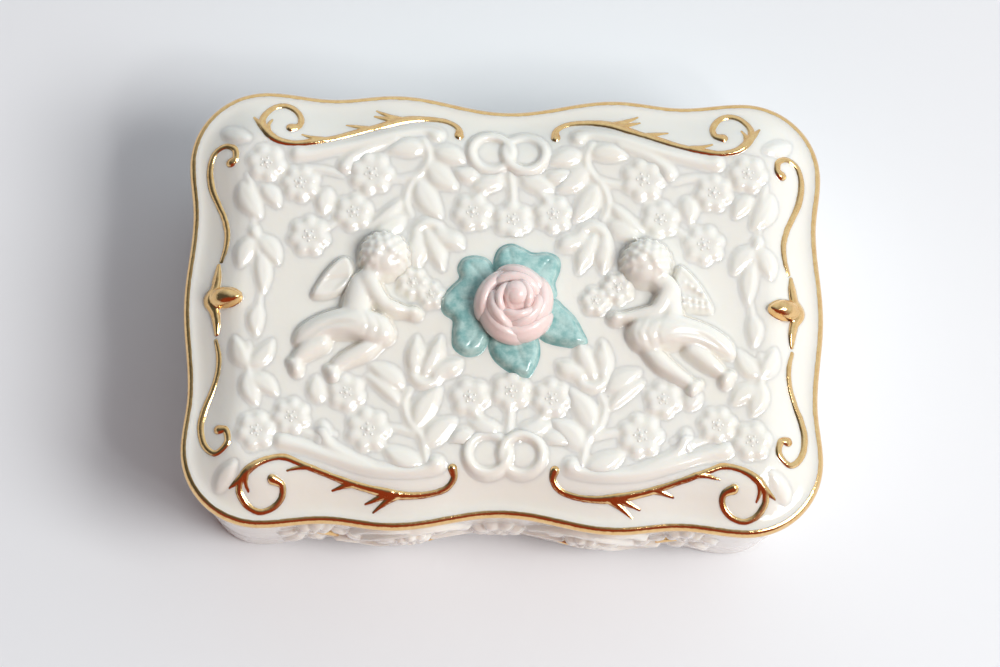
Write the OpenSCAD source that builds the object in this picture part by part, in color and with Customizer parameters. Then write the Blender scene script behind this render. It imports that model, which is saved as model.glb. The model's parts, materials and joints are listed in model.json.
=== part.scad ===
// Porcelain trinket box: a footed box body and a lift-off lid with a locating flange.
// The lid carries a hand-built rose with leaves, two cherubs, moulded flower relief and gilt scrolls.
// Millimetres, +Z up, origin at the centre of the footprint on the table.

/* [Lid] */
// Length of the lid at the corner lobes
lid_length = 127; // [126:0.5:129]
// Width of the lid at the front and back lobes
lid_width = 89.6; // [89:0.2:91]
// Corner radius of the rim outline
corner_radius = 15.5; // [15:0.5:16.5]
// Depth of the notch in the middle of each long side
notch_depth = 3; // [0:0.5:3.5]
// Height of the flat panel above the lid's seat
panel_rise = 7; // [6:0.5:9]
// Thickness of the lid's flat panel
panel_thickness = 3.2; // [2.5:0.1:3.5]
// Depth of the flange that locates the lid in the box
flange_depth = 4; // [3:0.5:6]

/* [Box body] */
// Height of the box body from the table to its top rim
body_height = 38; // [34:1:46]
// How far the lid overhangs the body's rim
overhang = 2; // [1.5:0.25:3]
// Thickness of the wall at the rim
wall = 3.2; // [3:0.1:3.6]
// Height of the inside floor above the table
floor_height = 8.5; // [8:0.5:10]
// Gap between the lid's flange and the body's wall
flange_clearance = 0.7; // [0.5:0.1:1]

/* [Ornament] */
// Height of the raised gilt lines
gilt_height = 0.8; // [0.5:0.1:1]
// Height of the moulded flowers and leaves
relief_height = 1.2; // [0.8:0.1:1.6]
// Radius of the rose over its outer petals
rose_radius = 7.8; // [7:0.2:8.4]
// How far right of the lid's middle the rose and the cherubs sit
group_shift = 1.5; // [0:0.5:2]

/* [Hidden] */
$fn = 32;
seat_gap = 0.1;
root = 0.3; // how deep each ornament is rooted in the surface under it
half_l = lid_length / 2;
half_w = lid_width / 2;
corner_x = half_l - corner_radius;
corner_y = half_w - corner_radius;
lobe_x = 22.2;
valley_depth = 1.1;
side_valley_y = 17.8;
side_valley = 1;
side_bulge = 1.3;
seat_z = body_height + seat_gap;
panel_z = seat_z + panel_rise - seat_gap;
body_inset = overhang;
inner_inset = overhang + wall;
flange_inset = inner_inset + flange_clearance;
flange_wall = 2;
side_steps = 6;
corner_steps = 8;
long_steps = 12;
quarter_steps = side_steps + corner_steps + long_steps;

// ---- outline of the rim -------------------------------------------------------------------

// Half width of the outline at x: notch, lobe, shallow valley, corner lobe.
function long_side(x) = let (a = min(abs(x), corner_x))
    half_w - (a < lobe_x
        ? notch_depth / 2 * (1 + cos(180 * a / lobe_x))
        : valley_depth / 2 * (1 - cos(360 * (a - lobe_x) / (corner_x - lobe_x))));

// Half length of the outline at y: middle bulge, shallow valley, corner lobe.
function short_side(y) = let (a = min(abs(y), corner_y))
    half_l - side_valley + (a < side_valley_y
        ? side_bulge / 2 * (1 + cos(180 * a / side_valley_y))
        : side_valley / 2 * (1 - cos(180 * (a - side_valley_y) / (corner_y - side_valley_y))));

quarter = concat(
    [for (i = [0:side_steps - 1]) let (y = corner_y * i / side_steps) [short_side(y), y]],
    [for (i = [0:corner_steps - 1]) let (a = 90 * i / corner_steps)
        [corner_x + corner_radius * cos(a), corner_y + corner_radius * sin(a)]],
    [for (i = [0:long_steps]) let (x = corner_x * (1 - i / long_steps)) [x, long_side(x)]]);

outline = concat(
    [for (i = [0:quarter_steps - 1]) quarter[i]],
    [for (i = [0:quarter_steps - 1]) let (p = quarter[quarter_steps - i]) [-p.x, p.y]],
    [for (i = [0:quarter_steps - 1]) -quarter[i]],
    [for (i = [0:quarter_steps - 1]) let (p = quarter[quarter_steps - i]) [p.x, -p.y]]);
count = len(outline);

function unit(v) = v / norm(v);
outward = [for (i = [0:count - 1])
    let (t = unit(outline[(i + 1) % count] - outline[(i + count - 1) % count])) [t.y, -t.x]];

// The outline moved inwards by inset.
function ring(inset) = [for (i = [0:count - 1]) outline[i] - inset * outward[i]];
function at_height(points, z) = [for (p = points) [p.x, p.y, z]];

// How far a point of the lid lies inside the rim.
function inset_at(x, y) = let (a = abs(x), b = abs(y))
    a > corner_x && b > corner_y ? corner_radius - norm([a - corner_x, b - corner_y])
    : min(long_side(a) - b, short_side(b) - a);

// ---- profiles: [inset, height] ------------------------------------------------------------

lid_slope = [[0.2, seat_z + 2.1], [0.6, seat_z + 2.65], [1.2, seat_z + 2.85], [2.2, seat_z + 2.8],
    [3.5, seat_z + 3.2], [5.5, seat_z + 4.2], [7.5, seat_z + 5.4], [9.5, panel_z - 0.5],
    [11, panel_z - 0.08], [12, panel_z]];
function lid_z(x, y) = lookup(inset_at(x, y), lid_slope);

lid_under = [[0, seat_z + 1.4], [0, seat_z + 0.9], [0.5, seat_z + 0.2], [1.1, seat_z],
    [flange_inset, seat_z], [flange_inset, seat_z - flange_depth + 0.6],
    [flange_inset + 0.4, seat_z - flange_depth],
    [flange_inset + flange_wall - 0.4, seat_z - flange_depth],
    [flange_inset + flange_wall, seat_z - flange_depth + 0.6],
    [flange_inset + flange_wall, seat_z + 1.2],
    [flange_inset + flange_wall + 1.6, panel_z - panel_thickness - 0.8],
    [12.5, panel_z - panel_thickness]];

wall_outside = [[8, overhang + 2.2], [14, overhang + 1.3], [22, overhang + 0.7],
    [30, overhang + 0.2], [36.4, overhang]];
function wall_inset(z) = lookup(z * 38 / body_height, wall_outside);

// ---- shared shapes ------------------------------------------------------------------------

// A closed solid through a stack of rings with the same number of points, from top to underside.
module loft(rings) {
    n = len(rings[0]);
    m = len(rings);
    sides = [for (j = [0:m - 2]) for (i = [0:n - 1]) let (k = (i + 1) % n)
        [j * n + i, j * n + k, (j + 1) * n + k, (j + 1) * n + i]];
    polyhedron([for (r = rings) each r],
        concat([[for (i = [n - 1:-1:0]) i]], sides, [[for (i = [0:n - 1]) (m - 1) * n + i]]), 4);
}

function spline_point(a, b, c, d, t) =
    0.5 * (2 * b + (c - a) * t + (2 * a - 5 * b + 4 * c - d) * t * t + (3 * b - a - 3 * c + d) * t * t * t);

// A smooth line through points, each [x, y, half width], with steps pieces between two of them.
function smooth_line(p, steps) = let (last = len(p) - 1) concat(
    [for (i = [0:last - 1]) for (s = [0:steps - 1])
        spline_point(p[max(i - 1, 0)], p[i], p[i + 1], p[min(i + 2, last)], s / steps)],
    [p[last]]);

function tangent(p, i) = let (q = p[min(i + 1, len(p) - 1)] - p[max(i - 1, 0)]) unit([q.x, q.y]);

// A rounded ridge along line on the top of the lid.
module lid_ridge(line, height) {
    loft([for (i = [0:len(line) - 1])
        let (p = line[i], t = tangent(line, i), n = [-t.y, t.x], z = lid_z(p.x, p.y), w = p.z)
        [for (s = [[-1, -root], [-0.65, height * 0.75], [0, height], [0.65, height * 0.75], [1, -root]])
            [p.x + n.x * w * s[0], p.y + n.y * w * s[0], z + s[1] * (s[1] < 0 ? 1 : min(1, w / 0.45))]]]);
}

// Puts a shape made for the back right quarter into the quarter with these signs.
module quarter_of(sx, sy) {
    mirror([sx < 0 ? 1 : 0, 0, 0])
        mirror([0, sy < 0 ? 1 : 0, 0])
            children();
}

module blossom(x, y, r, petals = 6) {
    translate([x, y, panel_z - root]) {
        linear_extrude(relief_height + root)
            for (i = [0:petals - 1]) rotate(i * 360 / petals) translate([r * 0.62, 0]) circle(r * 0.38);
        linear_extrude(relief_height + root + 0.3) circle(r * 0.45);
    }
}

// A pointed leaf from a to b, its half width a share of its length.
module leaf(a, b, fat = 0.25, height = 0.8) {
    d = b - a;
    l = norm(d);
    r = l * (1 + 4 * fat * fat) / (8 * fat);
    translate([a.x, a.y, panel_z - root]) rotate(atan2(d.y, d.x))
        linear_extrude(height + root) intersection() {
            translate([l / 2, r - l * fat]) circle(r, $fn = 96);
            translate([l / 2, l * fat - r]) circle(r, $fn = 96);
        }
}

// ---- box body -----------------------------------------------------------------------------

foot_x = 45; // the feet start beyond this distance from the middle of a long side
foot_y = 27;
pad_height = 0.6;

function ease(a, b, t) = a + (b - a) * (1 - cos(180 * t)) / 2;

// Height of the wall's scalloped bottom edge: corner feet, arches, and drops under the lobes.
function hem(p) = let (a = abs(p.x), b = abs(p.y))
    a > foot_x && b > foot_y ? pad_height
    : b > foot_y
        ? (a > 35 ? ease(3.8, pad_height, (a - 35) / (foot_x - 35))
            : a > lobe_x ? ease(1.4, 3.8, (a - lobe_x) / (35 - lobe_x)) : ease(2.8, 1.4, a / lobe_x))
        : (b > 18 ? ease(3.8, pad_height, (b - 18) / (foot_y - 18)) : ease(2, 3.8, b / 18));

function hem_ring(inset) = let (r = ring(inset))
    [for (i = [0:count - 1]) [r[i].x, r[i].y, hem(outline[i])]];

module box_body() {
    h = body_height;
    f = floor_height;
    color([0.95, 0.94, 0.91]) union() {
        loft(concat(
            [at_height(ring(overhang + wall + 6), f), at_height(ring(overhang + wall + 3.5), f + 0.4),
                at_height(ring(overhang + wall + 1.8), f + 3.5), at_height(ring(inner_inset + 0.6), f + 11),
                at_height(ring(inner_inset), f + 21), at_height(ring(inner_inset), h - 0.5),
                at_height(ring(inner_inset - 0.5), h), at_height(ring(body_inset + 1), h),
                at_height(ring(body_inset + 0.3), h - 0.5)],
            [for (i = [len(wall_outside) - 1:-1:0])
                at_height(ring(wall_outside[i][1]), wall_outside[i][0] * h / 38)],
            [hem_ring(overhang + 2.7), hem_ring(overhang + 5.4), at_height(ring(overhang + 6.4), f - 3.4),
                at_height(ring(overhang + 9), f - 3)]));
        for (sx = [-1, 1]) for (sy = [-1, 1]) quarter_of(sx, sy) foot_pad();
    }
}

// The flat unglazed pad under one corner foot.
module foot_pad() {
    outer = ring(overhang + 3.1);
    inner = ring(overhang + 5);
    span = [side_steps + 1:side_steps + corner_steps - 1];
    last = side_steps + side_steps + corner_steps;
    linear_extrude(pad_height + 1)
        polygon(concat([for (i = span) outer[i]], [for (i = span) inner[last - i]]));
}

// A point on the outside of a long (front or back) or short wall, along is x or y.
function wall_point(along, z, long) = long
    ? [along, long_side(along) - wall_inset(z), z]
    : [short_side(along) - wall_inset(z), along, z];

// A rounded ridge on a wall; line holds [along, z, half width].
module wall_ridge(line, height, long) {
    out = long ? [0, 1, 0] : [1, 0, 0];
    along = long ? [1, 0, 0] : [0, 1, 0];
    rings = [for (i = [0:len(line) - 1])
        let (p = line[i], t = tangent(line, i), w = p.z,
            c = wall_point(p.x, p.y, long), n = -t.y * along + t.x * [0, 0, 1])
        [for (s = [[1, -root], [0.6, height * 0.8], [0, height], [-0.6, height * 0.8], [-1, -root]])
            c + n * w * s[0] + out * s[1]]];
    loft(long ? rings : [for (r = rings) [for (i = [4:-1:0]) r[i]]]);
}

module wall_blossom(along, z, r, long) {
    p = wall_point(along, z, long);
    translate(p) rotate(long ? [-90, 0, 0] : [0, 90, 0]) translate([0, 0, -1]) {
        linear_extrude(1.9)
            for (i = [0:5]) rotate(i * 60) translate([r * 0.62, 0]) circle(r * 0.38);
        linear_extrude(2.3) circle(r * 0.4);
    }
}

long_wall_scroll = [[6, 21, 0.5], [10, 26, 0.8], [16, 27.5, 0.9], [22, 24, 0.9], [26, 19, 0.9], [29, 16, 0.7]];
short_wall_scroll = [[5, 21, 0.5], [9, 26, 0.8], [14, 26, 0.9], [17.5, 21, 0.9], [19, 17, 0.7]];

module wall_relief(long) {
    scroll = smooth_line(long ? long_wall_scroll : short_wall_scroll, 3);
    color([0.95, 0.94, 0.91]) {
        for (s = [0, 1]) mirror(long ? [s, 0, 0] : [0, s, 0]) {
            wall_ridge(scroll, 0.9, long);
            wall_blossom(long ? 17 : 12, 18, 3.2, long);
            if (long) wall_blossom(37, 26.5, 3, long);
        }
        wall_blossom(0, 17, 4, long);
    }
}

module wall_gilding(long) {
    upper = long ? [[38, 20.5, 0.25], [36, 19.8, 0.5], [33.5, 17.5, 0.45], [32.5, 13.5, 0.25]]
        : [[26, 23, 0.25], [24.2, 22, 0.5], [22.4, 19, 0.45], [22, 15, 0.25]];
    lower = long ? [[11, 10, 0.2], [14, 11, 0.5], [17, 10.5, 0.45], [20, 8.5, 0.25]]
        : [[8, 10, 0.2], [10.5, 11, 0.5], [13, 10.5, 0.45], [15, 8.5, 0.25]];
    color([0.83, 0.63, 0.26])
        for (s = [0, 1]) mirror(long ? [s, 0, 0] : [0, s, 0])
            for (line = [upper, lower]) wall_ridge(smooth_line(line, 3), gilt_height, long);
}

// ---- lid ----------------------------------------------------------------------------------

module lid_shell() {
    color([0.95, 0.94, 0.91])
        loft(concat(
            [for (i = [len(lid_slope) - 1:-1:0]) at_height(ring(lid_slope[i][0]), lid_slope[i][1])],
            [for (p = lid_under) at_height(ring(p[0]), p[1])]));
}

// The gilt band round the rim's edge, a thin skin over the porcelain.
module rim_gilding() {
    skin = 0.12;
    outer = [[1.3, 2.9], [0.6, 2.8], [0.1, 2.2], [-skin, 1.4], [-skin, 0.9]];
    inner = [[0.12, 0.9], [0.12, 1.35], [0.3, 2.05], [0.68, 2.55], [1.3, 2.7]];
    profile = concat(outer, inner);
    rings = [for (p = profile) at_height(ring(p[0]), seat_z + p[1])];
    n = count;
    m = len(rings);
    color([0.83, 0.63, 0.26])
        polyhedron([for (r = rings) each r],
            [for (j = [0:m - 1]) for (i = [0:n - 1]) let (k = (i + 1) % n, l = (j + 1) % m)
                [j * n + i, j * n + k, l * n + k, l * n + i]], 4);
}

scroll_stem = [[10.4, 34, 0.7], [9.6, 35.8, 0.55], [11.5, 37.8, 0.5], [16, 38.7, 0.55], [21, 38.6, 0.8],
    [25.5, 37.3, 0.65], [30, 35.8, 0.6], [35, 34.2, 0.5], [40, 32.9, 0.5], [44, 32.5, 0.6],
    [47.5, 33.6, 0.7], [49.6, 35.6, 0.7], [51.6, 37.4, 0.25]];
scroll_curl = [[49.6, 36, 0.5], [49.6, 39, 0.5], [48, 41.1, 0.5], [45.4, 41.6, 0.5], [43, 40.4, 0.55],
    [42.3, 38.2, 0.6], [43.4, 36.5, 0.65], [45, 36.6, 0.75]];
scroll_thorns = [
    [[20.5, 38.7, 0.7], [23.5, 39.3, 0.6], [26.3, 40.7, 0.15]],
    [[22, 38.5, 0.6], [24.5, 38.9, 0.5], [27.2, 39.2, 0.15]],
    [[28, 36.6, 0.55], [30.5, 36.9, 0.4], [33, 36.8, 0.15]],
    [[36, 34.1, 0.45], [38.5, 34.2, 0.35], [41, 34, 0.12]],
    [[47.6, 34, 0.5], [48, 36, 0.45], [47.5, 38, 0.15]]];

module gilt_scroll(sx, sy) {
    color([0.83, 0.63, 0.26]) quarter_of(sx, sy) {
        lid_ridge(smooth_line(scroll_stem, 3), gilt_height);
        lid_ridge(smooth_line(scroll_curl, 3), gilt_height);
        for (t = scroll_thorns) lid_ridge(smooth_line(t, 2), gilt_height * 0.8);
    }
}

side_stem = [[55.6, 26.9, 0.75], [54.3, 27.6, 0.6], [53.9, 29.6, 0.5], [55.4, 31.5, 0.5], [57.7, 31.2, 0.5],
    [59.2, 28.6, 0.55], [59.2, 25, 0.55], [58, 20.5, 0.5], [56.7, 16, 0.45], [55.9, 12, 0.4], [56.5, 8.3, 0.25]];

module side_scroll(sx, sy) {
    color([0.83, 0.63, 0.26]) quarter_of(sx, sy) lid_ridge(smooth_line(side_stem, 3), gilt_height);
}

// A bud lying on its side on a small crossbar.
module gilt_bud(sx) {
    color([0.83, 0.63, 0.26]) quarter_of(sx, 1) {
        lid_ridge(smooth_line([[57, 6.8, 0.2], [57.1, 3.6, 0.6], [57.9, 0.3, 1.7], [57.1, -3, 0.6],
            [57, -6.2, 0.2]], 4), 1);
        lid_ridge(smooth_line([[57.5, 0.3, 1.2], [55.4, 0.3, 2.1], [53.8, 0.3, 1.5], [52.3, 0.3, 0.2]], 3), 1.6);
    }
}

white_main = [[14, 34.6, 1.1], [17, 35.4, 0.7], [23, 34.8, 0.6], [30, 32.4, 0.7], [36, 30.2, 0.7],
    [40, 29.2, 0.7], [43, 29.4, 1]];
white_branch = [[29, 32.4, 0.5], [33, 30.3, 0.7], [35.2, 27.8, 0.8], [35.8, 25.8, 1]];

module white_scroll(sx, sy) {
    color([0.95, 0.94, 0.91]) quarter_of(sx, sy) {
        lid_ridge(smooth_line(white_main, 3), relief_height);
        lid_ridge(smooth_line(white_branch, 3), relief_height);
    }
}

spray_stem = [[16, 33.4, 0.35], [16.2, 30.5, 0.4], [18.4, 26.6, 0.45], [22, 23.4, 0.4], [26.5, 21, 0.35]];
spray_twig = [[18.6, 26.6, 0.35], [19.6, 23, 0.4], [20, 19.5, 0.4], [18.6, 17.2, 0.3]];
spray_blossoms = [[27, 25.8, 4], [31.5, 18.2, 3.4], [41.5, 23.8, 3.3], [48.7, 27.2, 3.4]];
spray_leaves = [[[17.5, 30.8], [24.3, 31]], [[14.6, 31], [8.8, 27.6]], [[17.8, 25.6], [13, 20.4]],
    [[20.2, 20.2], [26, 16.6]]];

// The big flower spray of one quarter; the back quarters have one more blossom.
module flower_spray(sx, sy) {
    color([0.95, 0.94, 0.91]) quarter_of(sx, sy) {
        lid_ridge(smooth_line(spray_stem, 2), 0.7);
        lid_ridge(smooth_line(spray_twig, 2), 0.7);
        for (b = spray_blossoms) blossom(b[0], b[1], b[2]);
        if (sy > 0) blossom(39, 12.6, 3.5);
        for (l = spray_leaves) leaf(l[0], l[1]);
    }
}

module lily(sx, sy) {
    color([0.95, 0.94, 0.91]) quarter_of(sx, sy) {
        lid_ridge(smooth_line([[19, 12, 0.4], [18.3, 15.2, 0.8], [15.8, 16.6, 0.8], [13.6, 15.8, 0.5]], 3), 0.9);
        leaf([14.6, 15], [9.2, 13.2], 0.22);
        leaf([16, 14], [10.8, 9.4], 0.22);
        leaf([17.6, 13.2], [15.6, 7.4], 0.22);
    }
}

// Two linked rings: the second passes under and over the first as one raised figure.
module wedding_rings(sy) {
    color([0.95, 0.94, 0.91])
        for (s = [-1, 1]) translate([s * 3.2, sy * 31.1, panel_z + 0.2])
            rotate_extrude($fn = 48) translate([4, 0]) circle(0.75, $fn = 16);
}

module ring_posy(sy) {
    color([0.95, 0.94, 0.91]) quarter_of(1, sy) {
        for (b = [[0, 18.8, 3.4], [7.7, 19.4, 3.4], [-7.7, 19.4, 3.4]]) blossom(b[0], b[1], b[2]);
        for (s = [0, 1]) mirror([s, 0, 0]) leaf([3.4, 24.8], [9.6, 24.4], 0.24);
    }
}

vine_leaves = [[[54, 25.6], [50.2, 18.2]], [[48.6, 22.6], [45.6, 18]], [[49.8, 13.2], [53.4, 7]],
    [[49.2, 13], [45.8, 6.2]], [[49, 8.6], [47.8, 1.6]]];

module side_vine(sx) {
    color([0.95, 0.94, 0.91])
        for (sy = [-1, 1]) quarter_of(sx, sy) for (l = vine_leaves) leaf(l[0], l[1], 0.24);
}

// ---- cherubs ------------------------------------------------------------------------------

module limb(a, b, ra, rb) {
    hull() {
        translate([a.x, a.y, panel_z + a.z]) sphere(ra, $fn = 16);
        translate([b.x, b.y, panel_z + b.z]) sphere(rb, $fn = 16);
    }
}

module cherub(sx) {
    color([0.95, 0.94, 0.91]) translate([group_shift, 0, 0]) quarter_of(sx, 1) difference() {
        union() {
            translate([26, 9, panel_z + 2.2]) sphere(4.5);
            limb([30, 2.8, 1.4], [31.6, -4.4, 1.2], 2.8, 3);
            limb([29.4, 1.6, 2], [20.4, -1.6, 1.3], 1.6, 1.1);
            limb([31.4, -5.2, 1.4], [25.6, -6.4, 1.3], 2.6, 2);
            limb([27.2, -8.6, 1.2], [36.2, -14.4, 0.8], 1.9, 1.3);
            limb([33, -6, 1.2], [42, -8.6, 0.8], 2.4, 1.8);
            limb([39.4, -9.6, 0.9], [43.4, -14, 0.7], 1.6, 1.3);
        }
        translate([0, -30, panel_z - root - 10]) cube([70, 60, 10]);
    }
}

module cherub_wing(sx) {
    color([0.95, 0.94, 0.91]) translate([group_shift, 0, panel_z - root]) quarter_of(sx, 1)
        linear_extrude(1.5 + root)
            polygon([[33.2, 6.6], [34.4, 8.4], [36.2, 7.6], [38.2, 4.6], [40, 0.2], [38, -0.4], [35.2, 0.2],
                [33.8, 3]]);
}

module cherub_posy(sx) {
    color([0.95, 0.94, 0.91]) translate([group_shift, 0, 0]) quarter_of(sx, 1) {
        blossom(20, 4.6, 2.8, 5);
        blossom(16.4, 2.6, 2.3, 5);
    }
}

// ---- rose ---------------------------------------------------------------------------------

rose = [group_shift, -0.4];
leaf_lobes = [ // [angle, reach] of each lobe, one list for each leaf
    [[92, 12.4], [58, 13]],
    [[137, 13.4], [178, 13.2], [222, 13.2]],
    [[285, 14]],
    [[336, 15.6]]];

module rose_leaf(i) {
    color([0.5, 0.72, 0.7]) translate([rose.x, rose.y, panel_z - root])
        linear_extrude(1.4 + root)
            for (lobe = leaf_lobes[i]) rotate(lobe[0]) intersection() {
                translate([lobe[1] - 6, 3.6]) circle(7.4, $fn = 96);
                translate([lobe[1] - 6, -3.6]) circle(7.4, $fn = 96);
                translate([5.2, -8]) square(16);
            }
}

// A slice of a hollow ball between two radii, from angle a to angle b.
module petal(r_in, r_out, a, b, top) {
    translate([rose.x, rose.y, panel_z + 4.2])
        intersection() {
            difference() {
                sphere(r_out);
                sphere(r_in);
            }
            rotate(a) translate([0, 0, -4.2]) rotate_extrude(angle = b - a) square([12, 4.2 + top]);
        }
}

module rose_heart() {
    color([0.93, 0.77, 0.75]) translate([rose.x, rose.y, panel_z + 0.1]) {
        cylinder(h = 6.4, r = 3.9);
        translate([0, 0, 6.4]) sphere(3.9);
    }
}

module rose_inner_petal(i) {
    color([0.93, 0.77, 0.75]) petal(4.9, 6.1, 20 + i * 120, 136 + i * 120, 4.2);
}

module rose_outer_petal(i) {
    color([0.93, 0.77, 0.75]) petal(6.3, rose_radius, 50 + i * 72, 118 + i * 72, 2.4);
}

// ---- nodes --------------------------------------------------------------------------------

box_body();
mirror([0, 1, 0]) wall_relief(true);  // wall_relief_front
wall_relief(true);  // wall_relief_back
mirror([1, 0, 0]) wall_relief(false);  // wall_relief_left
wall_relief(false);  // wall_relief_right
mirror([0, 1, 0]) wall_gilding(true);  // wall_gilding_front
wall_gilding(true);  // wall_gilding_back
mirror([1, 0, 0]) wall_gilding(false);  // wall_gilding_left
wall_gilding(false);  // wall_gilding_right
lid_shell();
rim_gilding();
gilt_scroll(1, 1);  // gilt_scroll_back_right
gilt_scroll(-1, 1);  // gilt_scroll_back_left
gilt_scroll(-1, -1);  // gilt_scroll_front_left
gilt_scroll(1, -1);  // gilt_scroll_front_right
side_scroll(1, 1);  // side_scroll_back_right
side_scroll(-1, 1);  // side_scroll_back_left
side_scroll(-1, -1);  // side_scroll_front_left
side_scroll(1, -1);  // side_scroll_front_right
gilt_bud(1);  // gilt_bud_right
gilt_bud(-1);  // gilt_bud_left
white_scroll(1, 1);  // white_scroll_back_right
white_scroll(-1, 1);  // white_scroll_back_left
white_scroll(-1, -1);  // white_scroll_front_left
white_scroll(1, -1);  // white_scroll_front_right
flower_spray(1, 1);  // flower_spray_back_right
flower_spray(-1, 1);  // flower_spray_back_left
flower_spray(-1, -1);  // flower_spray_front_left
flower_spray(1, -1);  // flower_spray_front_right
lily(1, 1);  // lily_back_right
lily(-1, 1);  // lily_back_left
lily(-1, -1);  // lily_front_left
lily(1, -1);  // lily_front_right
wedding_rings(1);  // wedding_rings_back
wedding_rings(-1);  // wedding_rings_front
ring_posy(1);  // ring_posy_back
ring_posy(-1);  // ring_posy_front
side_vine(1);  // side_vine_right
side_vine(-1);  // side_vine_left
cherub(1);  // cherub_right
cherub(-1);  // cherub_left
cherub_wing(1);  // cherub_wing_right
cherub_wing(-1);  // cherub_wing_left
cherub_posy(1);  // cherub_posy_right
cherub_posy(-1);  // cherub_posy_left
rose_leaf(0);  // rose_leaf_back
rose_leaf(1);  // rose_leaf_left
rose_leaf(2);  // rose_leaf_front
rose_leaf(3);  // rose_leaf_right
rose_heart();
rose_inner_petal(0);  // rose_inner_petal_1
rose_inner_petal(1);  // rose_inner_petal_2
rose_inner_petal(2);  // rose_inner_petal_3
rose_outer_petal(0);  // rose_outer_petal_1
rose_outer_petal(1);  // rose_outer_petal_2
rose_outer_petal(2);  // rose_outer_petal_3
rose_outer_petal(3);  // rose_outer_petal_4
rose_outer_petal(4);  // rose_outer_petal_5
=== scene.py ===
# %% [markdown]
# # A porcelain trinket box with a hand-built rose
# The box is slip-cast porcelain: a footed body and a lid that lifts off. Flowers, scrolls and two
# cherubs stand up from the lid in low relief, a rose pinched from soft clay sits in the middle, and the
# scrolls and the rim are painted with liquid gold before a last firing.
#
# The CAD model gives the sizes, the joint and the place of every piece. This script gives the pieces
# the shapes and glazes that a potter gives them. Sizes are in millimetres until a mesh is made.

# %% Load the CAD model
import json
import math
import bmesh
import bpy
import numpy as np
from mathutils import Matrix, Vector

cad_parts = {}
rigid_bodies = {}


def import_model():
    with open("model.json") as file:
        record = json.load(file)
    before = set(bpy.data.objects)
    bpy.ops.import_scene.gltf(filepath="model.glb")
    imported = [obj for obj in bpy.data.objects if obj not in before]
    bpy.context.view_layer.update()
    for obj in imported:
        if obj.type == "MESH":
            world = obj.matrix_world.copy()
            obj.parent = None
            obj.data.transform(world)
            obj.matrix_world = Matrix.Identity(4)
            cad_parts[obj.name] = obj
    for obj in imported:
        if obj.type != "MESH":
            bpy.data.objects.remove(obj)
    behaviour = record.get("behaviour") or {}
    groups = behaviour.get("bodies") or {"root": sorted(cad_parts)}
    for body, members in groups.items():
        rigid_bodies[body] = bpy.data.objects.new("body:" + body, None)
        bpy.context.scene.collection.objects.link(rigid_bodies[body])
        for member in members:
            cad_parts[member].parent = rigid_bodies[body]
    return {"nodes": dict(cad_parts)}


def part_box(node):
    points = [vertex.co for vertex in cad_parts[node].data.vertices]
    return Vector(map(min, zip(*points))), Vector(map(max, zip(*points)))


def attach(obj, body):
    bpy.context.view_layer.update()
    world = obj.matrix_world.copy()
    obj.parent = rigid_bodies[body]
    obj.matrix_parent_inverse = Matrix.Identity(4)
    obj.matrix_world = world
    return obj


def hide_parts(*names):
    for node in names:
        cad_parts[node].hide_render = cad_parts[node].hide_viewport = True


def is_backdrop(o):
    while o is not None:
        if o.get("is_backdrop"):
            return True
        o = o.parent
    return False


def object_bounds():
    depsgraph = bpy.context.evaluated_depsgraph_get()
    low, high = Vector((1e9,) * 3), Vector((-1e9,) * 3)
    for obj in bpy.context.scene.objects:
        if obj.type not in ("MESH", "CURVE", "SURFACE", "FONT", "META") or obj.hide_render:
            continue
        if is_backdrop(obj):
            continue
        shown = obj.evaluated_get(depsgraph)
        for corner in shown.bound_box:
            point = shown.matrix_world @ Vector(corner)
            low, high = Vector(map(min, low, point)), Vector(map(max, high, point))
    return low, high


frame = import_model()
cad_low, cad_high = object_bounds()
MM = 0.001
size = (cad_high - cad_low) / MM
print(f"The box is {size.x:.1f} x {size.y:.1f} x {size.z:.1f} mm, {len(frame['nodes'])} CAD nodes")

# %% [markdown]
# ## Writing nodes as sums
# Shader and geometry nodes do arithmetic with one node per step. `Wire` wraps a socket so that the same
# arithmetic can be written as a plain Python expression, and `Tree` makes every other node in one call.

# %% Wires and trees
class Wire:
    """A node's output that can stand in a Python expression."""

    def __init__(self, tree, socket):
        self.tree, self.socket = tree, socket

    def maths(self, kind, *others, clamp=False):
        node = self.tree.nodes.new("ShaderNodeMath")
        node.operation, node.use_clamp = kind, clamp
        for place, value in enumerate((self, *others)):
            plug(self.tree, node.inputs[place], value)
        return Wire(self.tree, node.outputs[0])

    def __add__(self, other):
        return self.maths("ADD", other)

    def __sub__(self, other):
        return self.maths("SUBTRACT", other)

    def __mul__(self, other):
        return self.maths("MULTIPLY", other)

    def __truediv__(self, other):
        return self.maths("DIVIDE", other)

    def __rsub__(self, other):
        return (self * -1.0) + other

    __radd__, __rmul__ = __add__, __mul__

    def clamp(self):
        return self.maths("ADD", 0.0, clamp=True)

    def ramp(self, low, high):
        """0 at low, 1 at high, straight between them."""
        return ((self - low) / (high - low)).clamp()


def plug(tree, socket, value):
    """Joins a wire to an input, or sets the input to a plain value."""
    if isinstance(value, Wire):
        tree.links.new(value.socket, socket)
    else:
        socket.default_value = value


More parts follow.
